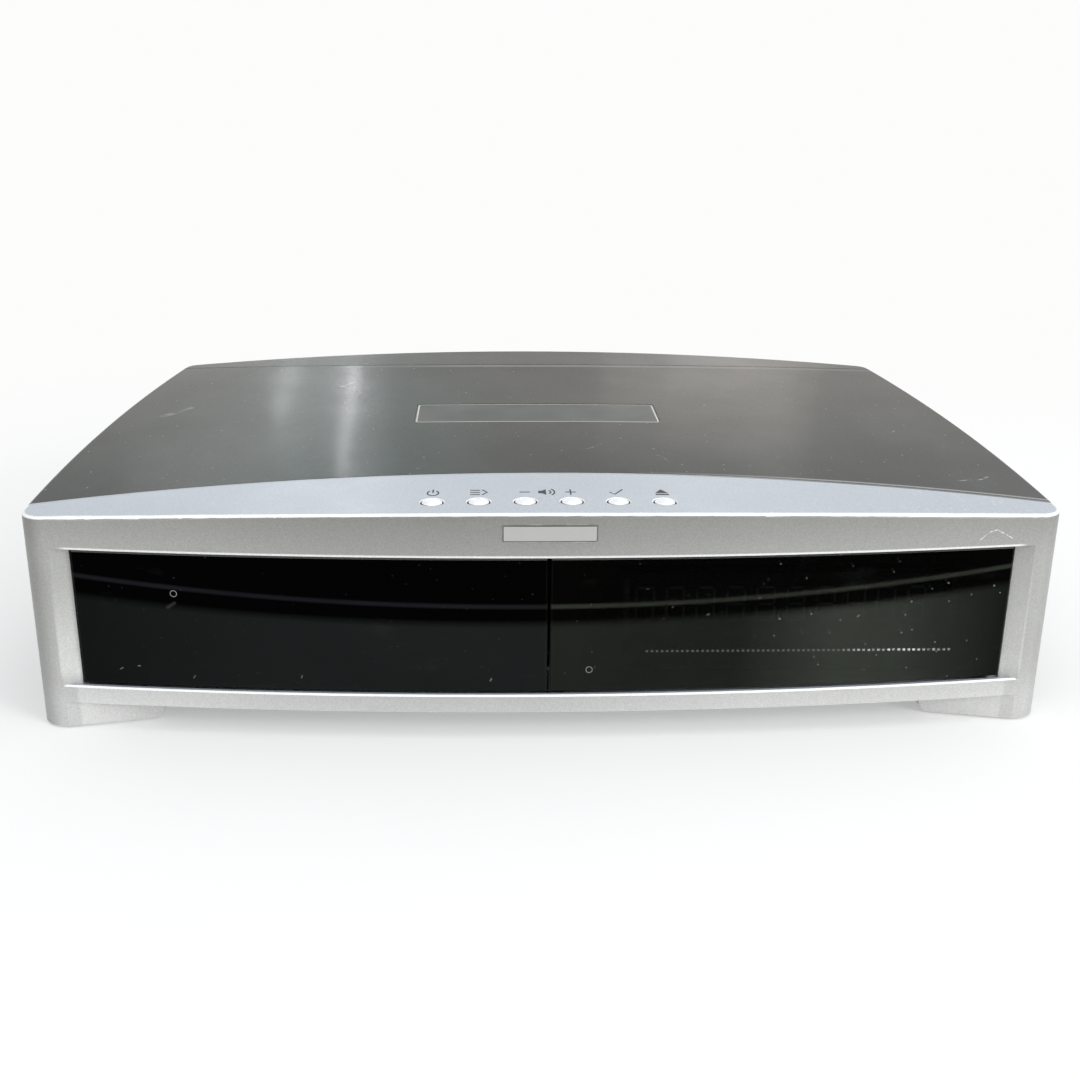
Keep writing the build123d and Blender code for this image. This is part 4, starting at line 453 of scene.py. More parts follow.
def cover_tone(p, up):
    """Colour of the cover: painted reflection darker in front and in the middle and paler to the rear and the
    sides, a pale painted sheen on the left, warm and teal patches, and painted highlights on the crease and the
    rim.
    """
    x, y, away = p.axis("X"), p.axis("Y"), p.off("X")
    zones = (
        (p.product(p.span(away, *TO_SIDE), 0.35), COVER_SIDES),
        (p.product(p.span(x, *WARM_X), p.span(y, *WARM_Y, 0.08, 0.40)), COVER_WARM),
        (p.span(p.off("X", TEAL_MIDDLE), *TEAL_REACH, 0.75, 0.0), COVER_TEAL),
        (p.product(p.span(away, *DARK_REACH, 0.8, 0.0), p.span(y, *DARK_Y)), COVER_DARK),
        # Painted sheen on the left, strongest in front.
        (p.product(p.span(p.off("X", LEFT_SHEEN_MIDDLE), *LEFT_SHEEN_REACH, 0.55, 0.0), p.span(y, *LEFT_SHEEN_Y, 1.0, 0.2)),
         COVER_LEFT_SHEEN),
        # Painted highlights: a light line on the crease, and one along the rim by the deck.
        (p.product(p.band(y, *CREASE_LINE), p.span(x, *CREASE_LEFT, 0.0, 0.7), p.span(x, *CREASE_RIGHT, 1.0, 0.6),
                   up), COVER_CREASE_HIGHLIGHT),
        (p.product(p.band(p.past_deck(), *RIM), p.span(x, *TO_SIDE, 0.0, 0.8), up), COVER_RIM_HIGHLIGHT),
    )
    tone = p.mix(p.span(y, *REARWARDS), COVER_FRONT, COVER_REAR)
    for share, colour in zones:
        tone = p.mix(share, tone, colour)
    return tone


def cover_marks(p):
    """Dust, fine specks, broken scratches and worn edges of the cover."""
    marks = [p.product(p.specks(**DUST), p.span(p.noise(0.04, 2), 0.40, 0.60), 0.45),
             p.product(p.specks(**FINE_DUST), p.span(p.noise(0.03, 3), 0.50, 0.65), 0.22),
             p.product(p.edges(0.0006), p.span(p.noise(0.008, 3), 0.5, 0.66, 0.0, 0.35))]
    for width, strength, points in COVER_SCRATCHES:
        broken = p.span(p.noise(max(0.0016, 0.003 * width), 3), 0.38, 0.62, 0.0, strength)
        marks.append(p.product(p.scratch(points, width), broken))
    return p.most(*marks)


def cover_paint():
    """Metallic graphite of the cover, with fine scuffs, dust and a few scratches on its upper faces."""
    p = Paint("graphite_paint", Metallic=0.05, IOR=1.5, Specular_IOR_Level=0.04,
              Specular_Tint=(0.36, 0.35, 0.33, 1), Coat_Weight=0.10, Coat_Roughness=0.10)
    up = p.span(p.facing("Z"), 0.2, 0.4)
    base = p.times(cover_tone(p, up), p.flakes(COVER_FLAKE, 0.80, 1.20))
    rubbed = p.span(p.noise(0.05, 6, p.stretch((1.0, 0.6, 1.0)), 0.6), 0.45, 0.75, 0.0, 0.05)
    base = p.mix(rubbed, base, COVER_RUBBED)
    p.colour(p.mix(p.product(cover_marks(p), up), base, COVER_MARK))
    p.rough(p.vary(0.20, 0.27, 0.040, 5))
    p.bump((p.noise(0.030, 3), 0.00004), (p.noise(0.0008, 2), 0.000006), (p.cells(COVER_FLAKE), 0.000002))
    return p.material


# Gloss black panels, in metres. A painted reflection runs across both as a stripe along an arc whose height over x
# is (ARC_BEND * x + ARC_SLOPE) * x + ARC_MIDDLE. A paler painted reflection below starts a given drop under it.

ARC_BEND, ARC_SLOPE, ARC_MIDDLE = 0.347, 0.0060, 0.0518
STRIPE = (-0.0012, -0.0004, 0.0003, 0.0012)
LOW_REFLECTION_DROP, LOW_REFLECTION_SLOPE, LOW_REFLECTION_BEND_X = (-0.0067, -0.0080), 0.0060, (0.058, 0.12)
LOW_REFLECTION_EDGE = (-0.0016, 0.0016)
LOW_REFLECTION_REACH = (0.10, 0.175)
# Painted reflection: a paler patch on the window, within the lower painted reflection.
PATCH_MIDDLE, PATCH_REACH = 0.118, (0.012, 0.050)
CLEAR_X = (0.010, 0.034, 0.140, 0.164)
DUSTY_X = (0.0, 0.05)
PANEL_DUST = dict(size=0.011, radius=0.00034, axes="XZ")
PANEL_SMEAR = (0.35, 0.36, 0.35, 1)
# Pale colour of the panels' dust and specks, and of their painted highlights.
PANEL_SPECK_AND_HIGHLIGHT = (0.5, 0.5, 0.48, 1)


def panel_dust_and_highlights(p, dust):
    """Dust, specks, a faint painted highlight on the edges, and a painted highlight on the upper bevel of a panel.
    """
    dusty = p.product(p.span(p.noise(0.03, 2), 0.35, 0.65), p.span(p.axis("X"), *DUSTY_X, 0.03, dust))
    marks = [p.product(p.specks(**PANEL_DUST), dusty),
             # Painted highlights: faint on the edges, brighter on the upper bevel.
             p.product(p.edges(0.0004), 0.03),
             p.product(p.band(p.facing("Z"), 0.3, 0.55, 0.80, 0.92), 0.24)]
    marks += [p.product(p.scratch(points, width), strength) for width, strength, points in PANEL_SPECKS]
    return p.most(*marks)


def gloss_black(name, above, stripe_reflection, below, patch=None, clear=None, dust=0.06):
    """High gloss of the door and window: black above a painted reflection that runs as a line along an arc, with a
    paler painted reflection below it.

    The window has a paler painted reflection patch within the lower one, and is clear in front of the display.
    """
    p = Paint(name, IOR=1.49, Specular_IOR_Level=0.012)
    x = p.axis("X")
    if clear:
        p.feed(p.shader.inputs["Alpha"], p.span(p.band(x, *CLEAR_X), 0.0, 1.0, 1.0, clear))
    arc = p.math("MULTIPLY_ADD", p.math("MULTIPLY_ADD", x, ARC_BEND, ARC_SLOPE), x, ARC_MIDDLE)
    over = p.math("SUBTRACT", p.axis("Z"), arc)
    # Painted reflections: a line along the arc, and a paler zone below it.
    line = p.product(p.band(over, *STRIPE), p.vary(0.7, 1.0, 0.03, 3))
    drop = p.math("MULTIPLY_ADD", x, LOW_REFLECTION_SLOPE, p.span(x, *LOW_REFLECTION_BEND_X, *LOW_REFLECTION_DROP))
    low_reflection = p.product(p.span(p.math("SUBTRACT", over, drop), *LOW_REFLECTION_EDGE, 1.0, 0.0),
                     p.vary(0.85, 1.0, 0.05, 4), p.span(p.off("X"), *LOW_REFLECTION_REACH, 1.0, 0.55))
    base = p.mix(line, above, stripe_reflection)
    base = p.mix(low_reflection, base, below)
    if patch:
        near = p.span(p.off("X", PATCH_MIDDLE), *PATCH_REACH, 0.9, 0.0)
        base = p.mix(p.product(low_reflection, near), base, patch)
    smear = p.span(p.noise(0.012, 4, p.stretch((0.35, 1.0, 1.0)), 0.6), 0.62, 0.80, 0.0, 0.015)
    base = p.mix(smear, base, PANEL_SMEAR)
    p.colour(p.mix(panel_dust_and_highlights(p, dust), base, PANEL_SPECK_AND_HIGHLIGHT))
    p.rough(p.span(p.noise(0.020, 5), 0.3, 0.75, 0.03, 0.09))
    p.bump((p.noise(0.02, 2), 0.00001))
    return p.material


# Plain kinds of material

SOLDER_MASK = (0.012, 0.075, 0.030, 1)
TRACE_GREEN = (0.030, 0.16, 0.070, 1)
TINNED = (0.55, 0.53, 0.48, 1)
SPECK_PALE = (0.6, 0.6, 0.58, 1)
PEARL = (0.84, 0.855, 0.87, 1)
PEARL_WORN = (0.74, 0.755, 0.77, 1)


def plastic(name, colour, rough=0.45, grain=0.0006, depth=0.00001, speck=0.0):
    """Moulded plastic with a fine grain, slight colour change and rubbed edges."""
    p = Paint(name, IOR=1.46)
    lighter = scaled(colour, 1.5, 0.02)
    base = p.mix(p.vary(0.0, 0.25, 0.02, 3), colour, lighter)
    base = p.mix(p.product(p.edges(0.0003), 0.25), base, lighter)
    if speck:
        base = p.mix(p.span(p.cells(0.004), 0.0, 0.06, speck, 0.0), base, SPECK_PALE)
    p.colour(base)
    p.rough(p.vary(rough - 0.06, rough + 0.08, 0.012, 4))
    p.bump((p.noise(grain, 2), depth))
    return p.material


def metal(name, colour, rough=0.3, lines=(1, 30, 30), depth=0.000004, spangle=0.0, painted_shade_ahead=None):
    """Bare or plated metal with drawn lines or zinc spangle; darkened by painted shade where it lies ahead of that
    depth.
    """
    p = Paint(name, Metallic=1.0)
    dark = scaled(colour, 0.72)
    drawn = p.noise(0.006, 4, p.stretch(lines), 0.6)
    base = p.mix(p.span(drawn, *NOISE_SPREAD, 0.0, 0.5), colour, dark)
    if spangle:
        base = p.mix(p.flakes(0.006, 0.0, spangle), base, dark)
    base = p.mix(p.product(p.edges(0.0003), 0.4), base, grey(0.85))
    # Painted shade on the part that lies ahead of the given depth.
    if painted_shade_ahead:
        base = p.mix(p.span(p.axis("Y"), painted_shade_ahead, painted_shade_ahead + 0.002, 1.0, 0.0), base, grey(0.03))
    p.colour(base)
    p.rough(p.vary(rough - 0.05, rough + 0.1, 0.010, 4))
    p.bump((drawn, depth))
    return p.material


def framed(name, colour, edge, metallic, rough, axes, middle, half, corner, start, end):
    """Satin plate of the plain plaque or badge, with one fine line from start to end in from its edge."""
    p = Paint(name, Metallic=metallic, IOR=1.5, Specular_IOR_Level=0.2)
    brushed = p.noise(0.004, 4, p.stretch((1, 30, 30)), 0.55)
    cloud = p.noise(0.02, 3)
    base = p.mix(p.span(brushed, 0.35, 0.65, 0.0, 0.22), colour, scaled(colour, 0.8))
    line = p.band(p.inset(axes, middle, half, corner), start, start + 0.0001, end, end + 0.0001)
    base = p.mix(p.product(line, p.span(cloud, 0.3, 0.6, 0.75, 1.0)), base, edge)
    base = p.mix(p.product(p.edges(0.0003), 0.3), base, grey(0.7))
    p.colour(base)
    p.rough(p.span(cloud, *NOISE_SPREAD, rough - 0.03, rough + 0.05))
    p.bump((brushed, 0.000003), (line, 0.00002))
    return p.material


def rubber(name):
    p = Paint(name, IOR=1.5, Specular_IOR_Level=0.3)
    p.colour(p.mix(p.span(p.noise(0.004, 4), 0.4, 0.7), grey(0.018), grey(0.05)))
    p.rough(p.vary(0.65, 0.85, 0.002, 3))
    p.bump((p.noise(0.0005, 3), 0.00003))
    return p.material


def board(name):
    """Circuit board: solder mask with traces and tinned vias."""
    p = Paint(name, IOR=1.5)
    flat = p.stretch((1.0, 1.0, 0.0))
    track = p.span(p.cells(0.005, "DISTANCE_TO_EDGE", flat), 0.02, 0.05, 1.0, 0.0)
    via = p.span(p.cells(0.0045, place=flat), 0.08, 0.11, 1.0, 0.0)
    p.colour(p.mix(via, p.mix(track, SOLDER_MASK, TRACE_GREEN), TINNED))
    p.rough(p.vary(0.30, 0.45, 0.01, 3))
    p.bump((track, 0.00003))
    return p.material


def glass(name, colour, rough):
    p = Paint(name, IOR=1.5, Transmission_Weight=0.6)
    p.colour(p.mix(p.span(p.noise(0.004, 3), 0.35, 0.65, 0.0, 0.4), colour, grey(0.02)))
    p.rough(p.vary(rough, rough + 0.08, 0.003, 3))
    p.bump((p.noise(0.002, 2), 0.000004))
    return p.material


def button_paint():
    """Pearl silver of the buttons, satin gloss with finger wear on the domes."""
    p = Paint("button_plastic", Metallic=0.25, IOR=1.5, Coat_Weight=0.4)
    base = p.mix(p.span(p.noise(0.003, 3), 0.35, 0.7, 0.0, 0.35), PEARL, PEARL_WORN)
    p.colour(p.times(base, p.flakes(0.0003, 0.95, 1.03)))
    p.rough(p.vary(0.22, 0.34, 0.004, 4))
    p.bump((p.noise(0.0007, 2), 0.000003))
    return p.material


def ink(name, colour, rough=0.5):
    """Printed ink, a little uneven and worn."""
    p = Paint(name, IOR=1.45)
    p.colour(p.mix(p.span(p.noise(0.0006, 3), 0.4, 0.7), colour, scaled(colour, 1.6, 0.01)))
    p.rough(p.vary(rough - 0.05, rough + 0.1, 0.001, 2))
    p.bump((p.noise(0.0003, 2), 0.000004))
    return p.material


def painted_glow(name, low, high, bright_from=0.0, bright_to=0.18):
    """Patchy green-grey coat with a painted glow between two levels, stronger from one place along X to another."""
    p = Paint(name, Emission_Strength=1.0)
    patchy = p.span(p.noise(0.0021, 1), 0.38, 0.62, 0.05, 1.0)
    share = p.product(patchy, p.span(p.axis("X"), bright_from, bright_to))
    p.colour(p.mix(patchy, (0.12, 0.15, 0.12, 1), (0.20, 0.24, 0.20, 1)))
    p.feed(p.shader.inputs["Emission Color"], p.mix(share, grey(low, 0.02), grey(high, 0.02)))
    p.rough(p.vary(0.5, 0.7, 0.001, 2))
    return p.material


# Materials of the solids, by slot

LOOKS = {
    "champagne_paint": silver_paint(),
    "graphite_paint": cover_paint(),
    "button_plastic": button_paint(),
    # Gloss panels: black, a painted reflection along the arc, a paler painted reflection below it, and on the
    # window a paler painted reflection patch.
    "gloss_black": gloss_black("gloss_black", above=(0.0001, 0.0001, 0.0002, 1),
                               stripe_reflection=(0.0095, 0.0098, 0.0115, 1), below=(0.0104, 0.0118, 0.0116, 1)),
    "smoked_window": gloss_black("smoked_window", above=(0.0005, 0.0007, 0.0004, 1),
                                 stripe_reflection=(0.0260, 0.0290, 0.0230, 1), below=(0.0126, 0.0142, 0.0122, 1),
                                 patch=(0.0415, 0.0465, 0.0380, 1), clear=0.72, dust=0.45),
    "satin_badge": framed("satin_badge", (0.50, 0.495, 0.475, 1), edge=(0.05, 0.052, 0.055, 1), metallic=0.85,
                          rough=0.30, axes="XZ", middle=(0.0, 0.07995), half=(0.0166, 0.0030), corner=0.0003,
                          start=0.0, end=0.0003),
    "satin_plaque": framed("satin_plaque", (0.036, 0.043, 0.039, 1), edge=(0.62, 0.60, 0.52, 1), metallic=0.1,
                           rough=0.30, axes="XY", middle=(0.0, 0.0035), half=(0.05285, 0.01535), corner=0.00185,
                           start=0.0004, end=0.0010),
    "foot_rubber": rubber("foot_rubber"),
    "belt_rubber": rubber("belt_rubber"),
    "green_board": board("green_board"),
    "lens_glass": glass("lens_glass", (0.35, 0.45, 0.62, 1), rough=0.02),
    "tube_glass": glass("tube_glass", (0.05, 0.08, 0.075, 1), rough=0.05),
}
PLASTICS = {
    "black_paint": dict(colour=grey(0.018), rough=0.5, grain=0.0008, depth=0.00004, speck=0.3),
    "black_plastic": dict(colour=grey(0.020)),
    "tray_plastic": dict(colour=grey(0.030), rough=0.42, grain=0.0007, depth=0.00002),
    "white_plastic": dict(colour=(0.72, 0.72, 0.68, 1), rough=0.35),
    "chip_plastic": dict(colour=grey(0.015), rough=0.55),
    "capacitor_sleeve": dict(colour=(0.012, 0.022, 0.075, 1), rough=0.25),
    "ribbon_plastic": dict(colour=(0.70, 0.71, 0.73, 1), rough=0.4),
}
METALS = {
    "zinc_steel": dict(colour=(0.56, 0.57, 0.58, 1), rough=0.36, lines=(1, 8, 8), spangle=0.35),
    "black_screw": dict(colour=grey(0.06), rough=0.4),
    "zinc_screw": dict(colour=grey(0.6)),
    # Painted shade darkens the pins where they lie ahead of the given depth, in the gap between the door and the
    # window.
    "pin_steel": dict(colour=grey(0.62), rough=0.18, lines=(30, 30, 1), painted_shade_ahead=-0.115),
    "motor_steel": dict(colour=(0.52, 0.53, 0.54, 1), rough=0.26, lines=(20, 20, 1)),
    "die_cast": dict(colour=(0.45, 0.46, 0.47, 1), rough=0.45, lines=(1, 1, 1), depth=0.00002),
    "black_aluminium": dict(colour=grey(0.05), rough=0.4, lines=(20, 1, 20)),
    "nickel_socket": dict(colour=(0.70, 0.68, 0.64, 1), rough=0.28, lines=(1, 20, 1)),
}
LOOKS.update((name, plastic(name, **values)) for name, values in PLASTICS.items())
LOOKS.update((name, metal(name, **values)) for name, values in METALS.items())

for part in frame["record"]["subparts"]:
    item = NODES[part["node"]]
    item.data.materials.clear()
    item.data.materials.append(LOOKS[part["material_slot"]])

# Materials of the pieces made here

INK_DARK = ink("print_ink", (0.010, 0.011, 0.014, 1))
INK_GREY = ink("mark_ink", (0.16, 0.16, 0.16, 1), 0.35)
INK_PALE = ink("pale_ink", (0.42, 0.43, 0.43, 1))
CONTACT = metal("contact_gold", (0.80, 0.62, 0.30, 1), 0.2, (1, 20, 1))
COLLARS = {
    "white": plastic("collar_white", (0.68, 0.68, 0.65, 1), 0.35),
    "red": plastic("collar_red", (0.42, 0.016, 0.012, 1), 0.35),
    "yellow": plastic("collar_yellow", (0.72, 0.50, 0.03, 1), 0.35),
    "orange": plastic("collar_orange", (0.62, 0.17, 0.015, 1), 0.35),
}
# Painted light: the unlit digits glow faintly, and the pins glow as a glint.
SEGMENTS = painted_glow("segment_painted_glow", 0.008, 0.020)
PINS = painted_glow("dot_painted_glow", 0.9, 8.0, bright_from=0.110, bright_to=0.124)


# Pieces of mesh, in millimetres

class Shape:
    """Points and faces of one piece, gathered part by part."""

    def __init__(self):
        self.verts, self.faces = [], []

    def slab(self, outline, place, low, high):
        """Thin solid: outline points (u, v) put by place(u, v, w) between two heights w."""
        first, n = len(self.verts), len(outline)
        for w in (low, high):
            self.verts += [place(u, v, w) for u, v in outline]
        self.faces.append([first + i for i in range(n)][::-1])
        self.faces.append([first + n + i for i in range(n)])
        for i in range(n):
            j = (i + 1) % n
            self.faces.append([first + i, first + j, first + n + j, first + n + i])

    def stroke(self, points, width, place, low, high, closed=False):
        """Line of even width along points, as a thin solid with square ends."""
        n = len(points)
        left, right = [], []
        for i, (u, v) in enumerate(points):
            before = points[i - 1] if i or closed else points[i]
            after = points[(i + 1) % n] if i < n - 1 or closed else points[i]
            du, dv = after[0] - before[0], after[1] - before[1]
            size = sqrt(du * du + dv * dv)
            nu, nv = -dv / size * width / 2, du / size * width / 2
            left.append((u + nu, v + nv))
            right.append((u - nu, v - nv))
        first, up = len(self.verts), 2 * n
        for w in (low, high):
            self.verts += [place(u, v, w) for u, v in left + right]
        for i in range(n if closed else n - 1):
            j = (i + 1) % n
            l0, l1, r0, r1 = first + i, first + j, first + n + i, first + n + j
            self.faces += [[l0, l1, r1, r0], [l0 + up, r0 + up, r1 + up, l1 + up],
                           [l0, l0 + up, l1 + up, l1], [r0, r1, r1 + up, r0 + up]]
        if not closed:
            for i in (0, n - 1):
                l0, r0 = first + i, first + n + i
                self.faces.append([l0, r0, r0 + up, l0 + up])

    def make(self, name, material, body="console", slot=None):
        """Mesh piece of these points, riding on a body."""
        mesh = bpy.data.meshes.new(name)
        mesh.from_pydata([tuple(c * MM for c in v) for v in self.verts], [], self.faces)
        mesh.validate()
        tidy = bmesh.new()
        tidy.from_mesh(mesh)
        bmesh.ops.recalc_face_normals(tidy, faces=tidy.faces)
        tidy.to_mesh(mesh)
        tidy.free()
        made = bpy.data.objects.new(name, mesh)
        bpy.context.scene.collection.objects.link(made)
        mesh.materials.append(material)
        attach(made, body)


def circle(u, v, r, steps, start=0.0, turn=2 * pi):
    """Points on a circle, or on an arc with both its ends."""
    count = steps if turn >= 2 * pi else steps + 1
    angles = [start + turn * i / steps for i in range(count)]
    return [(u + r * cos(angle), v + r * sin(angle)) for angle in angles]


def waves(u, v, *sizes):
    """Arcs to the right of a point, as a loudspeaker's sound waves: radius and steps of each."""
    return [circle(u, v, r, steps, radians(-50), radians(100)) for r, steps in sizes]


def on_deck(x0, y0):
    """Placer on the deck's surface around a point."""
    return lambda u, v, w: (x0 + u, y0 + v, top_z(x0 + u, y0 + v) + w)


def on_panel(u, v, w):
    """Placer on the front face of the door and the window: u is x, v is height, w stands proud."""
    y = panel_y(u)
    nx, ny = u / PANEL_RADIUS, (y - FRONT_CENTER) / PANEL_RADIUS
    return (u + nx * w, y + ny * w, v)


def on_display(u, v, w):
    """Placer on the display tube's front face."""
    return (u, DISPLAY_Y - w, v)


def on_rear(u, v, w):
    """Placer on the rear panel's outer face."""
    return (u, REAR_FACE + w, v)


# Side fillers

FILLER_STEPS = 10
FILLER_STEP = 0.5
FILLER_DEPTH = 5
FILLER_GAP = 0.05
FILLER_FOOT, FILLER_HEAD = 0.3, 2.6


def make_side_fillers():
    """Strips that carry the pillars' sides back to the cover, where the deck's round edge cuts them off."""
    low, high = COVER_BOTTOM + FILLER_FOOT, top_z(HALF, PILLAR_BACK) - FILLER_HEAD
    ys = [PILLAR_BACK + FILLER_GAP - i * FILLER_STEP for i in range(FILLER_STEPS)]
    for name, side in (("side_filler_left", -1), ("side_filler_right", 1)):
        outer = [(side * (HALF - (y - SIDE_CENTER_Y) ** 2 / (2 * SIDE_RADIUS) - FILLER_GAP), y) for y in ys]
        inner = [(side * (HALF - FILLER_DEPTH), y) for y in (ys[-1], ys[0])]
        s = Shape()
        s.slab(outer + inner, lambda u, v, w: (u, v, w), low, high)
        s.make(name, LOOKS["champagne_paint"], slot="champagne_paint")


# Tubes of the rear sockets: radius, steps round, wall, and where they start and end behind the rear panel

JACK_COLLAR = (5.05, 40, 1.7, -0.1, 1.1)
JACK_INSULATOR = (2.42, 32, 1.45, 1.0, 7.6)
JACK_CONTACT = (1.48, 24, 0.4, 0.9, 7.2)
AERIAL_INSULATOR = (2.3, 32, 2.2, 0.9, 6.0)
AERIAL_CONTACT = (0.95, 24, 0.4, 0.8, 6.4)


def make_jack_parts():
    """Coloured collars and insulators of the phono jacks, their contacts, and the aerial socket's core."""

    def tube(shape, x, z, size):
        radius, steps, wall, low, high = size
        shape.stroke(circle(x, z, radius, steps), wall, on_rear, low, high, True)

    contacts, core = Shape(), Shape()
    rings = {colour: Shape() for colour in COLLARS}
    for column, x in enumerate(JACK_XS):
        pair = ("yellow", "orange") if column == 0 else ("white", "red")
        for z, colour in zip(JACK_ZS, pair):
            tube(rings[colour], x, z, JACK_COLLAR)
            tube(rings[colour], x, z, JACK_INSULATOR)
            tube(contacts, x, z, JACK_CONTACT)
    for colour, shape in rings.items():
        shape.make("jack_rings_" + colour, COLLARS[colour])
    tube(core, *AERIAL, AERIAL_INSULATOR)
    tube(contacts, *AERIAL, AERIAL_CONTACT)
    core.make("aerial_core", COLLARS["white"])
    contacts.make("jack_contacts", CONTACT)


# Prints

INK_FROM, INK_TO = -0.01, 0.03
REAR_FRAMES = (  # left, right and top of each
    (-12, 18, 66), (19, 49, 66), (52, 74, 66), (77, 98, 52), (99, 117, 52), (118, 138, 52), (140, 166, 66),
)
REAR_FRAME_BOTTOM = 20.5
REAR_FRAME_CORNER = 2.0


def make_rear_prints():
    """Thin frames and generic pictograms printed on the rear panel."""
    s = Shape()

    def line(*points, closed=False, wide=0.4):
        s.stroke(points, wide, on_rear, INK_FROM, INK_TO, closed)

    def area(*points):
        s.slab(points, on_rear, INK_FROM, INK_TO)

    for x0, x1, top in REAR_FRAMES:
        r = REAR_FRAME_CORNER
        left, right, low, high = x0 + r, x1 - r, REAR_FRAME_BOTTOM + r, top - r
        corners = ((right, high, 0), (left, high, 90), (left, low, 180), (right, low, 270))
        line(*[q for u, v, a in corners for q in circle(u, v, r, 6, radians(a), radians(90))], closed=True)

    # Arrows over the two groups of jacks: up for out, down for in
    for x, z, side in ((3, 60.5, 1), (34, 60.5, -1)):
        area((x - 2.2, z - side * 1.2), (x + 2.2, z - side * 1.2), (x, z + side * 1.8))
        line((x - 2.6, z - side * 2.4), (x + 2.6, z - side * 2.4))

    # Aerial
    x, z = AERIAL[0], 50.0
    line((x, z - 4), (x, z + 4))
    line((x - 3.4, z + 4), (x, z), (x + 3.4, z + 4))

    # Screen on its foot
    x = 86.5
    line((x - 3.2, 41.5), (x + 5.2, 41.5), (x + 5.2, 47.5), (x - 3.2, 47.5), closed=True)
    line((85.4, 40.0), (89.6, 40.0))

    # Light with its rays
    x, z = 108, 44.0
    line(*circle(x, z, 1.0, 20), closed=True)
    for turn in range(8):
        a = radians(45 * turn)
        line((x + 2.0 * cos(a), z + 2.0 * sin(a)), (x + 3.4 * cos(a), z + 3.4 * sin(a)))

    # Direct current
    line((124.6, 45.2), (131.4, 45.2), wide=0.6)
    for x in (124.6, 127.1, 129.6):
        line((x, 43.2), (x + 1.8, 43.2), wide=0.6)

    # Loudspeaker
    area((150.0, 54.4), (151.6, 54.4), (153.6, 52.4), (153.6, 59.6), (151.6, 57.6), (150.0, 57.6))
    for wave in waves(153.4, 56, (2.2, 8), (3.8, 10)):
        line(*wave)
    s.make("rear_prints", INK_PALE)


ICON_BEHIND = 10.6
ICON_TALL = 1.45
ICON_LINE = 0.55


def make_icons():
    """Generic prints behind the buttons: power, source, minus, speaker, plus, tick and eject."""
    s = Shape()
    xs = [(i - 2.5) * BUTTON_PITCH for i in range(6)]
    speaker = (xs[2] + xs[3]) / 2

    def place(x):
        around = on_deck(x, BUTTON_Y + ICON_BEHIND)
        return lambda u, v, w: around(u, ICON_TALL * v, w)

    def line(x, *points):
        s.stroke(points, ICON_LINE, place(x), INK_FROM, INK_TO)

    def area(x, *points):
        s.slab(points, place(x), INK_FROM, INK_TO)

    line(xs[0], *circle(0, -0.2, 2.0, 24, radians(125), radians(290)))
    line(xs[0], (0, 0.1), (0, 2.6))
    for row in (1.7, 0.0, -1.7):
        line(xs[1], (-3.2, row), (0.4, row))
    line(xs[1], (1.2, 2.0), (3.0, 0.0), (1.2, -2.0))
    line(xs[2], (-1.9, 0), (1.9, 0))
    line(xs[3], (-1.9, 0), (1.9, 0))
    line(xs[3], (0, -2.1), (0, 2.1))
    area(speaker, (-3.4, -1.0), (-2.1, -1.0), (-0.6, -2.2), (-0.6, 2.2), (-2.1, 1.0), (-3.4, 1.0))
    for wave in waves(-0.6, 0, (1.7, 8), (3.1, 10)):
        line(speaker, *wave)
    line(xs[4], (-2.4, 0.1), (-0.7, -1.8), (2.5, 2.1))
    area(xs[5], (-2.4, -0.5), (2.4, -0.5), (0, 2.4))
    area(xs[5], (-2.4, -2.1), (2.4, -2.1), (2.4, -1.2), (-2.4, -1.2))
    s.make("button_icons", INK_DARK)


LAMP_RINGS = (("door_lamp_ring", "door", -133.7, 54.9), ("window_lamp_ring", "console", 14.8, 27.0))


def make_rings():
    """Small ring marks of the lamps behind the door and the window."""
    for name, body, x, z in LAMP_RINGS:
        s = Shape()
        s.stroke(circle(x, z, 1.15, 32), 0.24, on_panel, -0.02, 0.04, True)
        s.make(name, INK_GREY, body)


# Display

DIGITS, FIRST_DIGIT, DIGIT_PITCH, DIGIT_Z = 10, 36.0, 11.2, 46.5
DIGIT_STROKES = (
    (-2.6, 6.6, 2.6, 6.6), (-2.6, 0, 2.6, 0), (-2.6, -6.6, 2.6, -6.6),
    (-3.2, 0.7, -3.2, 5.9), (3.2, 0.7, 3.2, 5.9), (-3.2, -5.9, -3.2, -0.7), (3.2, -5.9, 3.2, -0.7),
)
END_BARS = (29.0, 151.0)
DISPLAY_PINS, FIRST_PIN, PIN_PITCH, PIN_Z, PIN_SIZE = 61, 37.0, 1.9, 27.6, 0.9


def make_display():
    """Unlit digits and end bars on the display tube's front face, and the row of pins under it. The digits and bars
    glow faintly as painted light, and the pins glow as a painted glint.
    """
    dark, pins = Shape(), Shape()
    for i in range(DIGITS):
        x = FIRST_DIGIT + i * DIGIT_PITCH
        for u0, v0, u1, v1 in DIGIT_STROKES:
            dark.stroke([(x + u0, DIGIT_Z + v0), (x + u1, DIGIT_Z + v1)], 0.7, on_display, 0.02, 0.1)
    for x in END_BARS:
        dark.stroke([(x, 32.0), (x, 57.0)], 2.6, on_display, 0.02, 0.1)
    for i in range(DISPLAY_PINS):
        x = FIRST_PIN + i * PIN_PITCH
        pins.stroke([(x, PIN_Z), (x + PIN_SIZE, PIN_Z)], PIN_SIZE, on_display, -0.6, 0.0)
    dark.make("display_segments", SEGMENTS)
    pins.make("display_pins", PINS)


make_side_fillers()
make_jack_parts()
make_rear_prints()
make_icons()
make_rings()
make_display()

# Stage, lights and camera, in metres

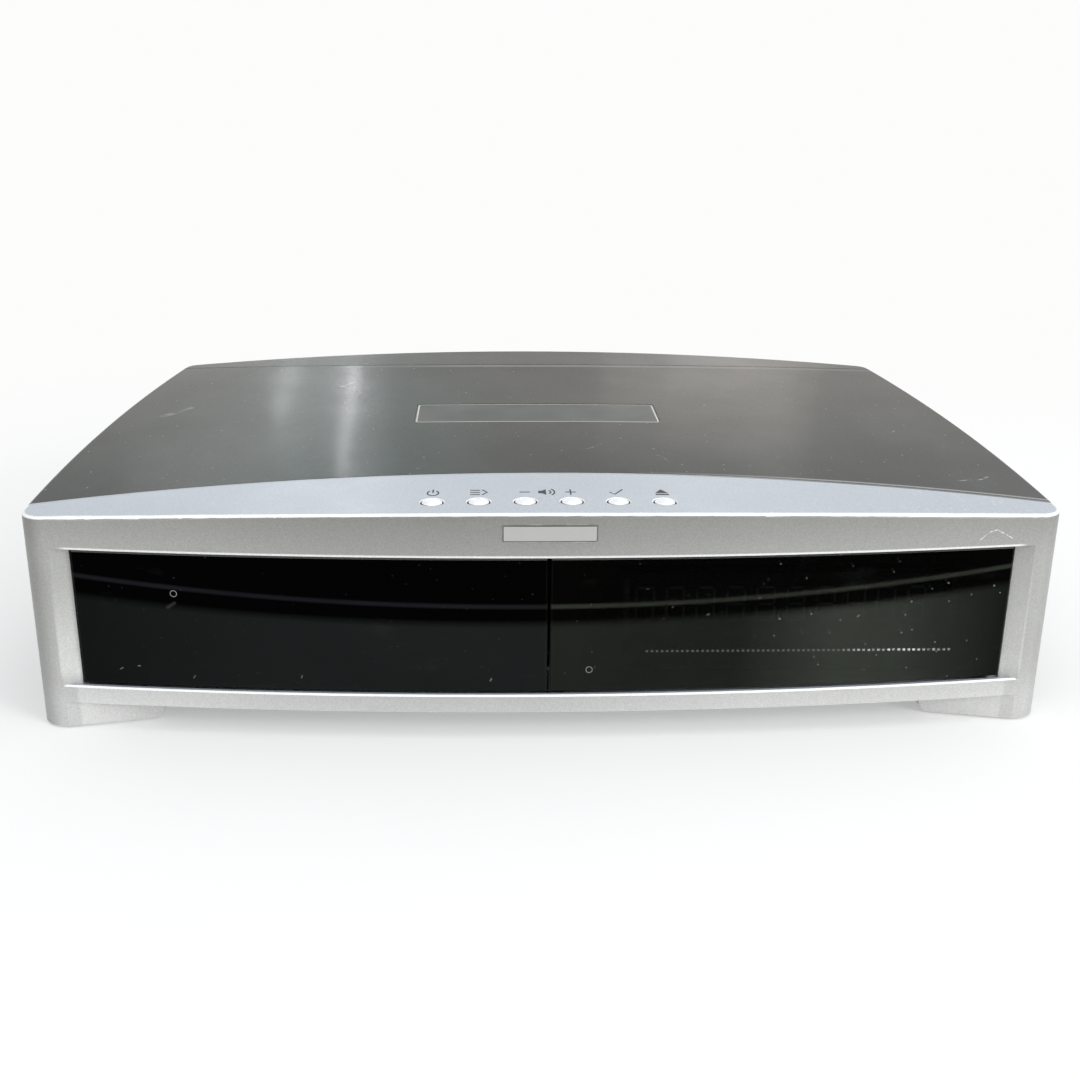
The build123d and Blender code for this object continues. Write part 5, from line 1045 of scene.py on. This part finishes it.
PAPER_WHITE = (0.98, 0.98, 0.975, 1)
FLOOR_SIZE = 60
FLOOR_TONES = ((0.90, 0.90, 0.895, 1), (0.92, 0.92, 0.915, 1))
GLOW_NEAR, GLOW_FAR, GLOW_LEAST = 0.16, 0.60, 0.30
SKY = (0.95, 0.975, 1.0, 1)
SKY_STRENGTH = 0.78

COOL, WARM = (0.94, 1.0, 0.99), (1.0, 0.94, 0.87)
CONSOLE_MIDDLE = (0, 0, 0.05)
KEY_LAMPS = (
    ("lamp_top", (0.1, -0.3, 1.9), 1.6, 8),
    ("lamp_front_left", (-1.3, -1.6, 1.1), 0.9, 4),
    ("lamp_front_right", (1.5, -1.3, 0.8), 0.8, 23),
)
BACK_LAMP_Y = 1.95
BACK_AIM = 0.18
BACK_LAMPS = (
    ("lamp_back_left_wide", -0.485, 0.62, (0.53, 0.46), 0.20, COOL),
    ("lamp_back_left_near", -0.425, 0.67, (0.39, 0.34), 0.02, COOL),
    ("lamp_back_right_wide", 0.41, 0.52, (0.42, 0.30), 0.19, WARM),
    ("lamp_back_right_near", 0.455, 0.49, (0.25, 0.22), 0.09, WARM),
)
STRIP_AIM = (-0.08, 0, 0.08)
STRIP_LAMPS = (
    ("lamp_strip_a", (-0.403, 1.9, 0.535), (0.022, 0.16), 0.075, (0.92, 1.0, 1.0), -28),
    ("lamp_strip_b", (-0.295, 1.9, 0.595), (0.022, 0.22), 0.17, (0.97, 0.95, 1.0), -15),
)

CAMERA_PLACE = (-0.0220, -0.5854, 0.2406)
CAMERA_YAW, CAMERA_PITCH, CAMERA_ROLL = -0.0408, 0.3462, 0.0105
CAMERA_LENS = 45.92
CAMERA_SENSOR = 36.0


def make_floor():
    """Large pale floor that turns to plain white away from the console."""
    bpy.ops.mesh.primitive_plane_add(size=FLOOR_SIZE, location=(0, 0, 0))
    floor = bpy.context.object
    floor.name = "floor"
    p = Paint("floor_pale", Roughness=0.9, Specular_IOR_Level=0.0)
    p.colour(p.mix(p.vary(0.0, 1.0, 0.3, 3), *FLOOR_TONES))
    glow = p.node("Emission", PAPER_WHITE, 1.0).outputs[0]
    away = p.node("VectorMath", p.place, operation="LENGTH").outputs["Value"]
    share = p.node("MapRange", away, GLOW_NEAR, GLOW_FAR, GLOW_LEAST, 1.0,
                   interpolation_type="SMOOTHSTEP").outputs[0]
    both = p.node("MixShader", p.product(share, p.seen()), p.shader.outputs[0], glow)
    p.feed(p.output.inputs[0], both.outputs[0])
    floor.data.materials.append(p.material)


def make_world():
    """Even pale surroundings: white where they are seen, dimmer as light."""
    world = bpy.data.worlds.new("pale_world")
    bpy.context.scene.world = world
    world.use_nodes = True
    sky = Nodes(world.node_tree)
    dim = sky.node("Background", SKY, SKY_STRENGTH).outputs[0]
    white = sky.node("Background", PAPER_WHITE, 1.0).outputs[0]
    sky.node("OutputWorld", sky.node("MixShader", sky.seen(), dim, white).outputs[0])


def softbox(name, place, aim, size, power, colour=(1, 1, 1), tilt=0.0):
    """Rectangular area lamp aimed at a point and tilted about its own axis by degrees."""
    lamp = bpy.data.lights.new(name, "AREA")
    lamp.shape = "RECTANGLE"
    lamp.size, lamp.size_y = size
    lamp.energy = power
    lamp.color = colour
    made = bpy.data.objects.new(name, lamp)
    bpy.context.scene.collection.objects.link(made)
    made.location = place
    made.rotation_mode = "QUATERNION"
    aimed = (Vector(aim) - Vector(place)).to_track_quat("-Z", "Y")
    made.rotation_quaternion = aimed @ Quaternion((0, 0, 1), radians(tilt))


def make_lights():
    """Lamps above and in front, and those behind whose reflections lie on the cover as broad sheens and streaks."""
    for name, place, size, power in KEY_LAMPS:
        softbox(name, place, CONSOLE_MIDDLE, (size, size), power)
    for name, x, z, size, power, colour in BACK_LAMPS:
        softbox(name, (x, BACK_LAMP_Y, z), (BACK_AIM * x, 0, 0.08), size, power, colour)
    for name, place, size, power, colour, tilt in STRIP_LAMPS:
        softbox(name, place, STRIP_AIM, size, power, colour, tilt)


def make_camera():
    """Camera at the photograph's place: slightly left of the middle, above, and turned a little."""
    yaw, pitch, roll = CAMERA_YAW, CAMERA_PITCH, CAMERA_ROLL
    ahead = Vector((-sin(yaw) * cos(pitch), cos(yaw) * cos(pitch), -sin(pitch)))
    right = ahead.cross(Vector((0, 0, 1))).normalized()
    up = right.cross(ahead)
    x_axis = right * cos(roll) + up * sin(roll)
    y_axis = up * cos(roll) - right * sin(roll)
    camera = bpy.data.objects.new("camera", bpy.data.cameras.new("camera"))
    bpy.context.scene.collection.objects.link(camera)
    turned = Matrix((x_axis, y_axis, -ahead)).transposed().to_4x4()
    camera.matrix_world = Matrix.Translation(CAMERA_PLACE) @ turned
    camera.data.lens = CAMERA_LENS
    camera.data.sensor_width = CAMERA_SENSOR
    camera.data.clip_start = 0.01
    camera.data.clip_end = 100.0
    bpy.context.scene.camera = camera


make_floor()
make_world()
make_lights()
make_camera()
bpy.context.scene.view_settings.view_transform = "Standard"
